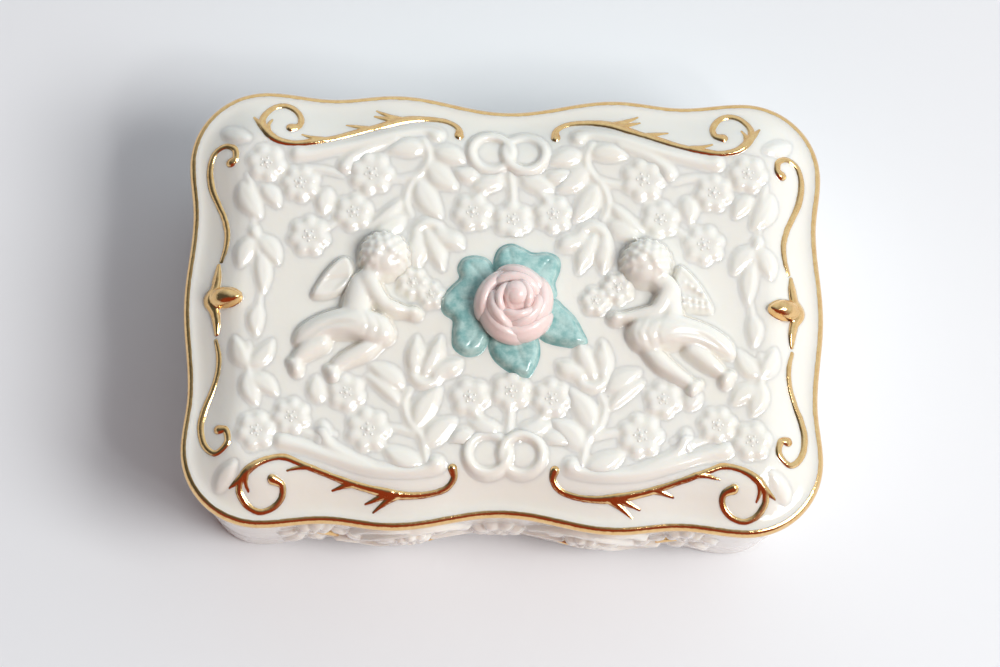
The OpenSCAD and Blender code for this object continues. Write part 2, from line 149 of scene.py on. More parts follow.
class Tree:
    """A node tree with one way to add a node: its type, its settings and its inputs."""

    def __init__(self, tree):
        self.tree = tree
        tree.nodes.clear()

    def node(self, kind, settings=None, out=0, **inputs):
        made = self.tree.nodes.new(kind)
        for name, value in (settings or {}).items():
            setattr(made, name, value)
        for name, value in inputs.items():
            key = int(name[1:]) if name[0] == "i" and name[1:].isdigit() else name.replace("_", " ")
            plug(self.tree, made.inputs[key], value)
        return Wire(self.tree, made.outputs[out]) if len(made.outputs) else None

    def mix(self, amount, first, second):
        """Blends two colours, each a wire or an (r, g, b)."""
        pair = [c if isinstance(c, Wire) else (*c, 1.0) for c in (first, second)]
        return self.node("ShaderNodeMix", {"data_type": "RGBA"}, out=2, i0=amount, i6=pair[0], i7=pair[1])

    def noise(self, place, scale, detail=2.0, roughness=0.5):
        return self.node("ShaderNodeTexNoise", Vector=place, Scale=scale, Detail=detail,
                         Roughness=roughness)

    def attribute(self, name):
        return self.node("ShaderNodeAttribute", {"attribute_name": name}, out=2)

# %% [markdown]
# ## Porcelain, gold and coloured glaze
# Porcelain is a white, slightly translucent body under a clear glaze that is as glossy as glass. Every
# moulded piece carries a value that says how deep in a hollow each point lies, and the white glaze is
# tinted warmer and darker there as painted shade. The gold is a mirror with brush marks, and it stops
# where the brush stopped: the `gilt` value is the distance inside that edge.

# %% Materials
def start(name):
    """A new material, its tree, and object coordinates in metres."""
    made = bpy.data.materials.new(name)
    made.use_nodes = True
    t = Tree(made.node_tree)
    return made, t, t.node("ShaderNodeTexCoord", out=3)


def finish_material(t, shader):
    t.node("ShaderNodeOutputMaterial", Surface=shader)


def porcelain(t, place, white=(0.845, 0.835, 0.78), warm=(0.70, 0.63, 0.53), waviness=0.10, soft=0.55):
    """Clear glaze over an ivory-white body."""
    cloud = t.noise(place, 38.0, 3.0)
    # painted shade: the white is mixed towards a warm, darker colour in hollows
    hollow_shading = t.attribute("hollow_depth").ramp(0.0, 0.45) * 0.40
    body = t.mix(cloud.ramp(0.35, 0.7), white, tuple(c * k for c, k in zip(white, (0.985, 0.975, 0.955))))
    colour = t.mix(hollow_shading, body, warm)
    waves = t.noise(place, 70.0, 1.0) + t.noise(place, 420.0, 2.0) * 0.10
    normal = t.node("ShaderNodeBump", Strength=waviness, Distance=0.004, Height=waves)
    rough = t.noise(place, 260.0, 3.0) * 0.06 + 0.10
    return t.node("ShaderNodeBsdfPrincipled", Base_Color=colour, Roughness=rough, IOR=1.5,
                  Subsurface_Weight=soft, Subsurface_Radius=(1.0, 0.9, 0.75), Subsurface_Scale=0.0016,
                  Coat_Weight=0.5, Coat_Roughness=0.04, Normal=normal)


def gold(t, place):
    """Burnished liquid gold with brush marks and thin places."""
    streaks = t.noise(place, 900.0, 4.0, 0.6)
    colour = t.mix(streaks.ramp(0.3, 0.75), (0.93, 0.66, 0.33), (0.82, 0.50, 0.20))
    rough = streaks * 0.14 + 0.07
    normal = t.node("ShaderNodeBump", Strength=0.12, Distance=0.0006, Height=streaks)
    return t.node("ShaderNodeBsdfPrincipled", Base_Color=colour, Roughness=rough, Metallic=1.0,
                  Normal=normal)


def white_glaze(name, **looks):
    made, t, place = start(name)
    finish_material(t, porcelain(t, place, **looks))
    return made


def gilded(name):
    """Gold where the brush went, bare porcelain beyond its slightly uneven edge."""
    made, t, place = start(name)
    wander = (t.noise(place, 700.0, 2.0) - 0.5) * 0.22
    painted = (t.attribute("gilt") + wander).ramp(-0.03, 0.05)
    finish_material(t, t.node("ShaderNodeMixShader", i0=painted, i1=porcelain(t, place),
                              i2=gold(t, place)))
    return made


def rose_glaze(name):
    """Pale pink, with painted shade in a deeper pink where petals meet and inside them."""
    made, t, place = start(name)
    cloud = (t.noise(place, 260.0, 3.0) - 0.5) * 0.35
    # painted shade: a deeper pink in the creases and inside the petals
    deep = (t.attribute("fold_shade") + cloud).clamp()
    colour = t.mix(deep, (0.88, 0.725, 0.70), (0.80, 0.57, 0.54))
    normal = t.node("ShaderNodeBump", Strength=0.12, Distance=0.001, Height=t.noise(place, 500.0, 2.0))
    rough = t.noise(place, 300.0) * 0.1 + 0.20
    finish_material(t, t.node("ShaderNodeBsdfPrincipled", Base_Color=colour, Roughness=rough,
                              Subsurface_Weight=0.4, Subsurface_Radius=(1.0, 0.6, 0.5),
                              Subsurface_Scale=0.0012, Coat_Weight=0.35, Coat_Roughness=0.08,
                              Normal=normal))
    return made


def leaf_glaze(name):
    """Mottled blue-green that is darker where it gathers and pale where it thins on an edge."""
    made, t, place = start(name)
    mottle = t.noise(place, 430.0, 4.0, 0.6).ramp(0.34, 0.64)
    body = t.mix(mottle, (0.19, 0.42, 0.41), (0.47, 0.67, 0.64))
    dark = t.attribute("hollow_depth").ramp(0.0, 0.5) * 0.5
    colour = t.mix(dark, body, (0.08, 0.24, 0.25))
    thin = (t.attribute("hollow_depth") * -1.0).ramp(0.16, 0.42) * 0.55
    colour = t.mix(thin, colour, (0.50, 0.62, 0.60))
    normal = t.node("ShaderNodeBump", Strength=0.25, Distance=0.0012, Height=t.noise(place, 330.0, 2.0))
    rough = mottle * 0.08 + 0.10
    finish_material(t, t.node("ShaderNodeBsdfPrincipled", Base_Color=colour, Roughness=rough,
                              Coat_Weight=0.7, Coat_Roughness=0.04, Normal=normal))
    return made


def bare_clay(name):
    """Unglazed porcelain, ground flat where the box stands."""
    made, t, place = start(name)
    grain = t.noise(place, 1500.0, 5.0, 0.7)
    colour = t.mix(grain.ramp(0.3, 0.7), (0.80, 0.78, 0.72), (0.66, 0.62, 0.54))
    normal = t.node("ShaderNodeBump", Strength=0.4, Distance=0.0003, Height=grain)
    finish_material(t, t.node("ShaderNodeBsdfPrincipled", Base_Color=colour, Roughness=grain * 0.2 + 0.65,
                              Normal=normal))
    return made


LID_GLAZE = white_glaze("lid glaze")
BOX_GLAZE = white_glaze("box glaze", waviness=0.14)
RELIEF_GLAZE = white_glaze("relief glaze", white=(0.85, 0.842, 0.79), waviness=0.05)
SEED_GLAZE = white_glaze("seed bead glaze", white=(0.84, 0.832, 0.78), waviness=0.0, soft=0.0)
GILDED = gilded("gilded porcelain")
PINK = rose_glaze("pink glaze")
GREEN = leaf_glaze("blue-green glaze")
BISQUE = bare_clay("bare clay")
print(len(bpy.data.materials), "materials")

# %% [markdown]
# ## Making a mesh from a grid of points
# Most pieces start as a grid of points, row by row. `grid_faces` joins them into quads and closes the
# grid round if it is a ring, `trimmed` leaves out quads that the piece doesn't need, and `new_piece`
# makes the mesh. `settle` gives a finished piece its glaze and says which part of the box carries it.

# %% Grids to meshes
def new_piece(name, points, faces, values=None):
    """A smooth-shaded mesh object from points in millimetres."""
    points, faces = np.asarray(points, float), np.asarray(faces, int)
    mesh = bpy.data.meshes.new(name)
    mesh.vertices.add(len(points))
    mesh.vertices.foreach_set("co", (points * MM).ravel())
    sides = faces.shape[1]
    mesh.loops.add(faces.size)
    mesh.loops.foreach_set("vertex_index", faces.ravel())
    mesh.polygons.add(len(faces))
    mesh.polygons.foreach_set("loop_start", np.arange(len(faces)) * sides)
    mesh.polygons.foreach_set("use_smooth", np.ones(len(faces), bool))
    for key, value in (values or {}).items():
        made = mesh.attributes.new(key, "FLOAT", "POINT")
        made.data.foreach_set("value", np.asarray(value, float).ravel())
    mesh.update(calc_edges=True)
    mesh.validate()
    piece = bpy.data.objects.new(name, mesh)
    bpy.context.scene.collection.objects.link(piece)
    return piece


def grid_faces(rows, columns, round_rows=False, round_columns=False):
    """Quads of a grid whose points are numbered row by row."""
    number = np.arange(rows * columns).reshape(rows, columns)
    if round_rows:
        number = np.vstack([number, number[:1]])
    if round_columns:
        number = np.hstack([number, number[:, :1]])
    corners = [number[:-1, :-1], number[1:, :-1], number[1:, 1:], number[:-1, 1:]]
    return np.stack(corners, -1).reshape(-1, 4)


def trimmed(points, faces, values, keep):
    """Keeps only some faces, and only the points that they use."""
    faces = faces[keep]
    used = np.unique(faces)
    place = np.full(len(points), -1)
    place[used] = np.arange(len(used))
    return points[used], place[faces], {k: np.ravel(v)[used] for k, v in values.items()}


def settle(piece, body, material, nodes=()):
    """Gives a piece its glaze, its body to ride on, and the CAD nodes it stands for."""
    piece.data.materials.append(material)
    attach(piece, body)
    if nodes:
        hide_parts(*nodes)
    return piece

# %% [markdown]
# ## The rim outline
# One serpentine outline runs round the lid and the body: a notch in the middle of each long side, a lobe
# on each side of it, a shallow valley, and a full round corner. Its sizes are read from the CAD lid.
# `inset` gives how far a point lies inside the outline, which is all that the lid's slope depends on.

# %% Outline
lid_low, lid_high = (np.array(corner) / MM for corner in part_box("lid_shell"))
body_low, body_high = (np.array(corner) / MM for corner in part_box("box_body"))
SIDE_BULGE = 0.3   # the short sides swell this far past the corners
HALF_L, HALF_W = lid_high[0] - SIDE_BULGE, lid_high[1]
CORNER = 15.5      # radius of the round corners
CORNER_X, CORNER_Y = HALF_L - CORNER, HALF_W - CORNER
LOBE = 22.2        # from the middle of a long side to its lobe
SIDE_VALLEY = 17.8
NOTCH, VALLEY, BULGE, SIDE_LOBE = 3.0, 1.1, 1.3, 1.0


def long_side(x):
    a = np.minimum(np.abs(x), CORNER_X)
    notch = NOTCH / 2 * (1 + np.cos(np.pi * a / LOBE))
    valley = VALLEY / 2 * (1 - np.cos(2 * np.pi * (a - LOBE) / (CORNER_X - LOBE)))
    return HALF_W - np.where(a < LOBE, notch, valley)


def short_side(y):
    a = np.minimum(np.abs(y), CORNER_Y)
    bulge = BULGE / 2 * (1 + np.cos(np.pi * a / SIDE_VALLEY))
    lobe = SIDE_LOBE / 2 * (1 - np.cos(np.pi * (a - SIDE_VALLEY) / (CORNER_Y - SIDE_VALLEY)))
    return HALF_L - SIDE_LOBE + np.where(a < SIDE_VALLEY, bulge, lobe)


def outline(count):
    """Evenly spaced points round the outline from the middle of the right side, and outward normals."""
    y, x = np.linspace(0, CORNER_Y, 300), np.linspace(CORNER_X, 0, 500)
    turn = np.linspace(0, np.pi / 2, 400)
    quarter = np.vstack([
        np.stack([short_side(y), y], 1)[:-1],
        np.stack([CORNER_X + CORNER * np.cos(turn), CORNER_Y + CORNER * np.sin(turn)], 1)[:-1],
        np.stack([x, long_side(x)], 1)])
    left = quarter[::-1] * [-1, 1]
    half = np.vstack([quarter, left[1:]])
    loop = np.vstack([half, -half[1:]])
    length = np.r_[0, np.cumsum(np.hypot(*np.diff(loop, axis=0).T))]
    at = np.linspace(0, length[-1], count, endpoint=False)
    points = np.stack([np.interp(at, length, loop[:, k]) for k in (0, 1)], 1)
    run = np.roll(points, -2, 0) - np.roll(points, 2, 0)
    run /= np.hypot(*run.T)[:, None]
    return points, np.stack([run[:, 1], -run[:, 0]], 1), length[-1]


RIM, RIM_OUT, RIM_LENGTH = outline(4000)
SKIP, BATCH = 20, 20000   # the first search looks at every 20th point, for 20000 places at a time


def measured_inset(flat):
    """Distance inside the outline of every (x, y), from the nearest point of RIM."""
    result = np.empty(len(flat))
    coarse = RIM[::SKIP]
    for begin in range(0, len(flat), BATCH):
        part = flat[begin:begin + BATCH]
        gap = (part[:, :1] - coarse[:, 0]) ** 2 + (part[:, 1:] - coarse[:, 1]) ** 2
        near = (gap.argmin(1)[:, None] * SKIP + np.arange(-SKIP, SKIP + 1, 2)) % len(RIM)
        offset = part[:, None] - RIM[near]
        best = (offset ** 2).sum(-1).argmin(1)
        row = np.arange(len(part))
        result[begin:begin + BATCH] = -(offset[row, best] * RIM_OUT[near[row, best]]).sum(-1)
    return result


GRID = 0.4
TABLE_X, TABLE_Y = np.arange(0, HALF_L + 1, GRID), np.arange(0, HALF_W + 1, GRID)
TABLE = measured_inset(np.stack(np.meshgrid(TABLE_X, TABLE_Y, indexing="ij"), -1).reshape(-1, 2))
TABLE = TABLE.reshape(len(TABLE_X), len(TABLE_Y))


def inset(x, y):
    """Distance inside the outline, read from a table of one quarter of the plan."""
    u, v = np.abs(x) / GRID, np.abs(y) / GRID
    i = np.minimum(u.astype(int), len(TABLE_X) - 2)
    j = np.minimum(v.astype(int), len(TABLE_Y) - 2)
    s, t = u - i, v - j
    return ((TABLE[i, j] * (1 - s) + TABLE[i + 1, j] * s) * (1 - t)
            + (TABLE[i, j + 1] * (1 - s) + TABLE[i + 1, j + 1] * s) * t)


print(f"The rim is {RIM_LENGTH:.0f} mm round")

# %% [markdown]
# ## The lid's slope
# From the rim's round edge the lid dips into a shallow cove and then climbs to a flat panel, which swells
# by a fraction of a millimetre as real clay does. `SLOPE` is the CAD lid's own section, as pairs of inset
# and height above the seat, and it is smoothed everywhere but at the rim.

# %% Lid section
FLANGE_DEPTH = 4.0
SEAT = lid_low[2] + FLANGE_DEPTH
PANEL = lid_high[2]
SLOPE = np.array([[0.2, 2.1], [0.6, 2.65], [1.2, 2.85], [2.2, 2.8], [3.5, 3.2], [5.5, 4.2], [7.5, 5.4],
                  [9.5, 6.4], [11, 6.82], [12, 6.9], [14, 6.9], [60, 6.9]])
STEP, REACH, SOFTNESS = 0.05, 24, 0.45   # millimetres, steps and millimetres
fine = np.arange(0, 20, STEP)
section = np.interp(fine, SLOPE[:, 0], SLOPE[:, 1])
spread = np.exp(-0.5 * (np.arange(-REACH, REACH + 1) * STEP / SOFTNESS) ** 2)
padded = np.r_[np.full(REACH, section[0]), section, np.full(REACH, section[-1])]
soft = np.convolve(padded, spread / spread.sum(), "valid")
blend = np.clip((fine - 0.9) / 1.2, 0, 1)
SECTION = section * (1 - blend) + soft * blend
CROWN, CROWN_X, CROWN_Y = 0.45, 52, 33


def lid_height(depth):
    return SEAT + np.interp(depth, fine, SECTION)


def swell(x, y):
    """The panel's slight crown."""
    return CROWN * np.clip(1 - (x / CROWN_X) ** 2, 0, 1) ** 2 * np.clip(1 - (y / CROWN_Y) ** 2, 0, 1) ** 2


def on_lid(x, y):
    """Points of the lid's top and the direction that relief stands up from it."""
    z = lid_height(inset(x, y)) + swell(x, y)
    return np.stack([x, y, z], -1), np.array([0.0, 0.0, 1.0])


print(f"Seat at {SEAT:.1f} mm, panel at {PANEL:.1f} mm")

# %% [markdown]
# ## Modelling in relief
# A potter presses soft clay into a carved mould, and glaze then rounds every edge and fills every
# corner. `Relief` works the same way. It is a fine grid of heights over part of a surface. Domes, limbs,
# leaves and petals are laid on it, and where they meet they melt into each other. `glaze` blurs the
# heights a little and presses them flatter, and only the cells that stand up are kept. Displacement of a
# flat sheet with an image would do the same, but here each mark stays a shape with a size and a place.

# %% Smooth lines, distances and blurring
def flow(points, steps=8):
    """A smooth line through points, by the Catmull-Rom rule. Any extra columns flow along too."""
    p = np.asarray(points, float)
    p = np.vstack([p[:1], p, p[-1:]])
    t = np.linspace(0, 1, steps, endpoint=False)[:, None]
    parts = [0.5 * (2 * b + (c - a) * t + (2 * a - 5 * b + 4 * c - d) * t ** 2
                    + (3 * b - a - 3 * c + d) * t ** 3) for a, b, c, d in zip(p, p[1:], p[2:], p[3:])]
    return np.vstack([*parts, p[-1:]])


def blur(field, amount):
    """Gaussian blur by amount cells, one direction at a time."""
    reach = int(math.ceil(3 * amount))
    weight = np.exp(-0.5 * (np.arange(-reach, reach + 1) / amount) ** 2)
    weight /= weight.sum()
    for axis in (0, 1):
        wide = np.pad(field, [(reach, reach) if k == axis else (0, 0) for k in (0, 1)], mode="edge")
        size_here = field.shape[axis]
        field = sum(w * np.take(wide, range(k, k + size_here), axis) for k, w in enumerate(weight))
    return field


def to_segment(U, V, a, b):
    """How far along the segment from a to b (0 to 1) each point is nearest to it, and how far away."""
    d = b - a
    t = np.clip(((U - a[0]) * d[0] + (V - a[1]) * d[1]) / max(d @ d, 1e-9), 0, 1)
    return t, np.hypot(U - a[0] - t * d[0], V - a[1] - t * d[1])


# %% Relief
EYES = []   # the middle of every blossom, where its beads go


class Relief:
    def __init__(self, low, high, cell=0.15, melt=0.12, flip=(1, 1), shift=0.0, body="lid", skin=on_lid):
        """low and high are corners in the mirrored plan, flip mirrors it, shift moves it right."""
        self.cell, self.melt, self.flip, self.shift = cell, melt, flip, shift
        self.body, self.skin = body, skin
        self.u, self.v = (np.arange(a, b, cell) for a, b in zip(low, high))
        self.U, self.V = np.meshgrid(self.u, self.v, indexing="ij")
        self.pile = np.ones_like(self.U)
        self.gilt = np.full_like(self.U, -1.0)

    def window(self, low, high):
        """The cells between two corners."""
        return tuple(slice(*np.searchsorted(axis, [a, b]))
                     for axis, a, b in zip((self.u, self.v), low, high))

    def lay(self, where, height):
        """Adds clay: heights melt together instead of adding up."""
        self.pile[where] += np.exp(np.maximum(height, 0) / self.melt) - 1

    def carve(self, x, y, rx, ry, turn, depth):
        """Presses a soft dent."""
        r = 2.2 * max(rx, ry)
        w = self.window((x - r, y - r), (x + r, y + r))
        q = self.oval(w, x, y, rx, ry, turn)
        here = self.melt * np.log(self.pile[w])
        cut = np.minimum(depth * np.exp(-1.6 * q), here * 0.9)
        self.pile[w] = np.exp((here - cut) / self.melt)

    def groove(self, points, depth, width, steps=6):
        """Draws a soft groove along a line, fading at both ends; a negative depth raises a ridge."""
        p = flow(points, steps)[:, :2]
        w = self.window(p.min(0) - 3 * width, p.max(0) + 3 * width)
        U, V = self.U[w], self.V[w]
        away, along = np.full(U.shape, 1e9), np.zeros(U.shape)
        for k, (a, b) in enumerate(zip(p[:-1], p[1:])):
            t, gap = to_segment(U, V, a, b)
            along = np.where(gap < away, (k + t) / (len(p) - 1), along)
            away = np.minimum(away, gap)
        here = self.melt * np.log(self.pile[w])
        cut = depth * np.exp(-(away / width) ** 2) * np.sin(np.pi * np.clip(along, 0.04, 0.96)) ** 0.5
        cut = np.minimum(cut, here * 0.9) * (here > 0.3)
        self.pile[w] = np.exp((here - cut) / self.melt)

    def oval(self, w, x, y, rx, ry, turn):
        c, s = math.cos(math.radians(turn)), math.sin(math.radians(turn))
        du, dv = self.U[w] - x, self.V[w] - y
        return ((du * c + dv * s) / rx) ** 2 + ((dv * c - du * s) / ry) ** 2

    def dome(self, x, y, rx, ry=None, turn=0.0, top=1.0, low=0.0):
        """A round or oval dome, low at its edge and top in its middle."""
        ry = ry or rx
        r = max(rx, ry)
        w = self.window((x - r, y - r), (x + r, y + r))
        q = self.oval(w, x, y, rx, ry, turn)
        self.lay(w, np.where(q < 1, low + (top - low) * np.sqrt(np.clip(1 - q, 0, 1)), 0))

    def limb(self, points, flat=1.0, gilt=None):
        """A rounded roll along a line of (x, y, height, radius); gilt paints it, that much wider."""
        p = np.asarray(points, float)
        r = p[:, 3].max() + 0.4
        w = self.window(p[:, :2].min(0) - r, p[:, :2].max(0) + r)
        U, V = self.U[w], self.V[w]
        best, paint = np.zeros_like(U), np.full_like(U, -1.0)
        for a, b in zip(p[:-1], p[1:]):
            t, away = to_segment(U, V, a[:2], b[:2])
            radius, lift = a[3] + (b[3] - a[3]) * t, a[2] + (b[2] - a[2]) * t
            best = np.maximum(best, np.where(
                away < radius, lift + flat * np.sqrt(np.clip(radius ** 2 - away ** 2, 0, None)), 0))
            paint = np.maximum(paint, radius - away)
        self.lay(w, best)
        if gilt is not None:
            self.gilt[w] = np.maximum(self.gilt[w], paint + gilt)

    def line(self, points, flat=1.3, gilt=None, steps=8):
        """A raised line through points (x, y, radius) that lies on the surface."""
        p = flow(points, steps)
        self.limb(np.stack([p[:, 0], p[:, 1], p[:, 0] * 0, np.maximum(p[:, 2], 0.05)], 1), flat, gilt)

    def leaf(self, a, b, wide, top=1.0, bend=0.0, vein=0.22, full=0.8):
        """A pointed leaf from a to b, bent to its left by bend, with a crease down its middle."""
        a, b = np.asarray(a, float), np.asarray(b, float)
        d = b - a
        r = wide + abs(bend) + 0.3
        w = self.window(np.minimum(a, b) - r, np.maximum(a, b) + r)
        du, dv = self.U[w] - a[0], self.V[w] - a[1]
        t = (du * d[0] + dv * d[1]) / (d @ d)
        n = (dv * d[0] - du * d[1]) / math.sqrt(d @ d)
        along = np.clip(t, 0, 1)
        n = n - bend * 4 * along * (1 - along)
        edge = np.maximum(wide * np.sin(np.pi * along ** full) ** 0.75, 1e-3)
        q = (n / edge) ** 2
        inside = (t > 0) & (t < 1) & (q < 1)
        h = top * np.sqrt(np.clip(1 - q, 0, 1)) * np.sin(np.pi * along) ** 0.3 * (1 + 0.18 * n / edge)
        h = h - vein * np.exp(-(n / 0.22) ** 2) * np.sin(np.pi * along)
        self.lay(w, np.where(inside, h, 0))

    def blossom(self, x, y, r, petals=6, turn=0.0, top=1.2):
        """Round petals about a raised eye."""
        self.dome(x, y, r * 0.7, top=top * 0.7)
        for k in range(petals):
            a = math.radians(turn + 360 * k / petals)
            self.dome(x + 0.60 * r * math.cos(a), y + 0.60 * r * math.sin(a), r * 0.42,
                      r * min(0.42, 2.45 / petals), math.degrees(a), top)
            self.carve(x + 0.44 * r * math.cos(a), y + 0.44 * r * math.sin(a), r * 0.16, r * 0.12,
                       math.degrees(a), 0.12)
        self.dome(x, y, r * 0.27, top=top * 1.08)
        EYES.append((self, x, y, r, turn))

    def pad(self, points, top=1.2, shoulder=0.9, steps=8, gilt=None, tilt=(0.0, 0.0)):
        """A flat pat of clay with a round shoulder inside a closed smooth outline."""
        ring = np.vstack([points, points[:1]])
        p = flow(np.vstack([points[-1:], ring, points[1:2]]), steps)[steps + 1:-steps - 1]
        w = self.window(p.min(0) - 0.5, p.max(0) + 0.5)
        U, V = self.U[w], self.V[w]
        inside, gap = np.zeros(U.shape, bool), np.full(U.shape, 1e9)
        for a, b in zip(p, np.roll(p, -1, 0)):
            gap = np.minimum(gap, to_segment(U, V, a, b)[1])
            crosses = (a[1] > V) != (b[1] > V)
            with np.errstate(divide="ignore", invalid="ignore"):
                inside ^= crosses & (U < a[0] + (V - a[1]) * (b - a)[0] / (b - a)[1])
        s = np.clip(gap / shoulder, 0, 1)
        rise = top + tilt[0] * (U - p[:, 0].mean()) + tilt[1] * (V - p[:, 1].mean())
        self.lay(w, np.where(inside, rise * np.sqrt(1 - (1 - s) ** 2), 0))
        if gilt is not None:
            self.gilt[w] = np.maximum(self.gilt[w], np.where(inside, gap, -gap) + gilt)

    def glaze(self, amount=0.15, press=1.0):
        """Settles the heights, presses them flatter, and finds how deep in a hollow each point lies."""
        self.height = blur(self.melt * np.log(self.pile), amount / self.cell) * press
        self.hollow_depth = blur(self.height, 0.5 / self.cell) - self.height
        return self

    def height_at(self, x, y):
        return self.height[np.abs(self.u - x).argmin(), np.abs(self.v - y).argmin()]

    def on_skin(self, u, v):
        """Places of the plan on the box, and the direction that the relief stands up there."""
        return self.skin(u * self.flip[0] + self.shift, v * self.flip[1])

    def piece(self, name, sink=0.015):
        """The mesh of every cell that stands up from the surface."""
        base, up = self.on_skin(self.U, self.V)
        points = (base + up * (self.height - sink)[..., None]).reshape(-1, 3)
        faces = grid_faces(*self.U.shape)
        if self.flip[0] * self.flip[1] < 0:
            faces = faces[:, ::-1]
        keep = (self.height.ravel()[faces] > sink * 0.3).any(1)
        values = {"hollow_depth": self.hollow_depth, "gilt": self.gilt}
        return new_piece(name, *trimmed(points, faces, values, keep))


def fire(relief, node, glaze, press=1.0, slot="relief_porcelain", material=RELIEF_GLAZE, finish="glazed"):
    """Turns a relief into the piece that stands for a CAD node: blurred by glaze, pressed flatter."""
    made = relief.glaze(glaze, press).piece(f"{node}_{finish}")
    return settle(made, relief.body, material, [node])


CORNERS = {"back_right": (1, 1), "back_left": (-1, 1), "front_left": (-1, -1), "front_right": (1, -1)}

# %% [markdown]
# ## Rings, laid one on another
# The lid and the body are built from rings: the outline moved inwards by some amount, at some height.
# A list of (inset, height) pairs is then a whole cross-section. Both ends are filled with smaller and
# smaller rings, and a fan of triangles closes each one at a single point.

# %% Lofting rings
AROUND, CAP_RINGS = 560, 14
RING, RING_OUT, _ = outline(AROUND)


def ring(depth, z):
    """The outline moved inwards; z is one height, or one for each point."""
    return np.column_stack([RING - np.reshape(depth, (-1, 1)) * RING_OUT, np.broadcast_to(z, AROUND)])


def arc(centre, radius, begin, end, steps):
    """(inset, height) pairs along a rounded edge; angles in degrees, 0 towards the inside, 90 up."""
    a = np.radians(np.linspace(begin, end, steps))
    return [(centre[0] + radius * math.cos(t), centre[1] + radius * math.sin(t)) for t in a]


def loft(name, rings):
    """A closed skin through rings from the middle of the top to the middle of the underside."""
    first, last = rings[0], rings[-1]
    shares = np.arange(1, CAP_RINGS + 1) / (CAP_RINGS + 1)
    rows = np.array([*(first * [k, k, 1] for k in shares), *rings,
                     *(last * [k, k, 1] for k in shares[::-1])])
    poles = [[0, 0, rows[0, :, 2].mean()], [0, 0, last[0, 2]]]
    made = new_piece(name, np.vstack([rows.reshape(-1, 3), poles]),
                     grid_faces(len(rows), AROUND, round_columns=True))
    work = bmesh.new()
    work.from_mesh(made.data)
    work.verts.ensure_lookup_table()
    v = work.verts
    top, bottom, base = v[len(rows) * AROUND], v[len(rows) * AROUND + 1], (len(rows) - 1) * AROUND
    for k in range(AROUND):
        n = (k + 1) % AROUND
        work.faces.new((top, v[k], v[n])).smooth = True
        work.faces.new((bottom, v[base + n], v[base + k])).smooth = True
    work.to_mesh(made.data)
    work.free()
    return made

# %% [markdown]
# ## The lid
# The lid is one casting. Its flange, 2 mm thick, drops inside the body's wall and stops the lid from
# sliding off. It is seen only when the lid is lifted, and so is the hollow under the panel. The rings run
# down over the rim's round edge, under the lid and round the flange, and the panel is then crowned.

# %% Lid
depths = np.r_[12.0, np.arange(11.5, 0.9, -0.35), 0.9, 0.72, 0.55, 0.38, 0.22]
top_rings = [ring(d, lid_height(d)) for d in depths]
edge = [(0.09, SEAT + 1.8), (0.02, SEAT + 1.45), (0.0, SEAT + 1.15), (0.06, SEAT + 0.8),
        (0.22, SEAT + 0.5), (0.5, SEAT + 0.22), (0.85, SEAT + 0.06), (1.2, SEAT)]
flange = [(2.2, SEAT), (4.0, SEAT), *arc((5.6, SEAT - 0.3), 0.3, 90, 0, 5), (5.9, SEAT - 1.5),
          (5.9, SEAT - 2.8), *arc((6.55, SEAT - 3.35), 0.65, 180, 270, 6),
          *arc((7.25, SEAT - 3.35), 0.65, 270, 360, 6), (7.9, SEAT - 2), (7.9, SEAT), (7.95, SEAT + 1.0),
          (8.3, SEAT + 1.9), (9.2, SEAT + 2.7), (10.4, SEAT + 3.3), (12, SEAT + 3.6), (14, SEAT + 3.7)]
for r in top_rings:
    r[:, 2] += swell(r[:, 0], r[:, 1])
lid = loft("lid_shell_glazed", top_rings + [ring(d, z) for d, z in edge + flange])
co = np.array([v.co for v in lid.data.vertices]) / MM
panel = np.r_[np.arange(CAP_RINGS * AROUND), len(co) - 2]
co[panel, 2] = lid_height(20.0) + swell(co[panel, 0], co[panel, 1])
lid.data.vertices.foreach_set("co", (co * MM).ravel())
lid.data.update()
settle(lid, "lid", LID_GLAZE, ["lid_shell"])
print("lid:", len(lid.data.polygons), "faces")

# %% [markdown]
# ## The gilt rim
# A liner brush is held still while the lid turns on a wheel, so the band follows the rim all the way
# round. It covers the rim's rounded edge, and its inner edge wanders a little. The band is a thin skin
# just above the lid's glaze. Its first row dips under that glaze, and its last rows are bare, so that the
# gold ends at a brush edge and not at the end of the mesh.

# %% Rim band
# Pairs of inset and height above the seat; 0 stands for the height of the lid's own slope.
band = [(1.42, 0), (1.2, 0), (1.0, 0), (0.9, 0), (0.72, 0), (0.55, 0), (0.38, 0), (0.22, 0), (0.09, 1.8),
        (0.02, 1.45), (0.0, 1.15), (0.06, 0.8), (0.22, 0.5)]
band_rows, band_gilt = [], []
for depth, up in band:
    z = SEAT + up if up else lid_height(depth) + (-0.04 if depth > 1.3 else 0.03)
    band_rows.append(ring(depth - 0.03, z))
    band_gilt.append(min(1.2 - depth, 0.5))
band_gilt[-2:] = -0.12, -0.6
rim = new_piece("rim_gilding_painted", np.array(band_rows).reshape(-1, 3),
                grid_faces(len(band), AROUND, round_columns=True),
                {"gilt": np.repeat(band_gilt, AROUND), "hollow_depth": np.zeros(len(band) * AROUND)})
settle(rim, "lid", GILDED, ["rim_gilding"])

# %% [markdown]
# ## Gilt scrolls
# Four long scrolls run from the rings to a curl in each corner, with thorns off their backs. Four more
# lie along the short sides, and a bud on a crossbar closes each short side. They were modelled as one
# corner and mirrored, and the hand that carved the mould made front and back a little different.

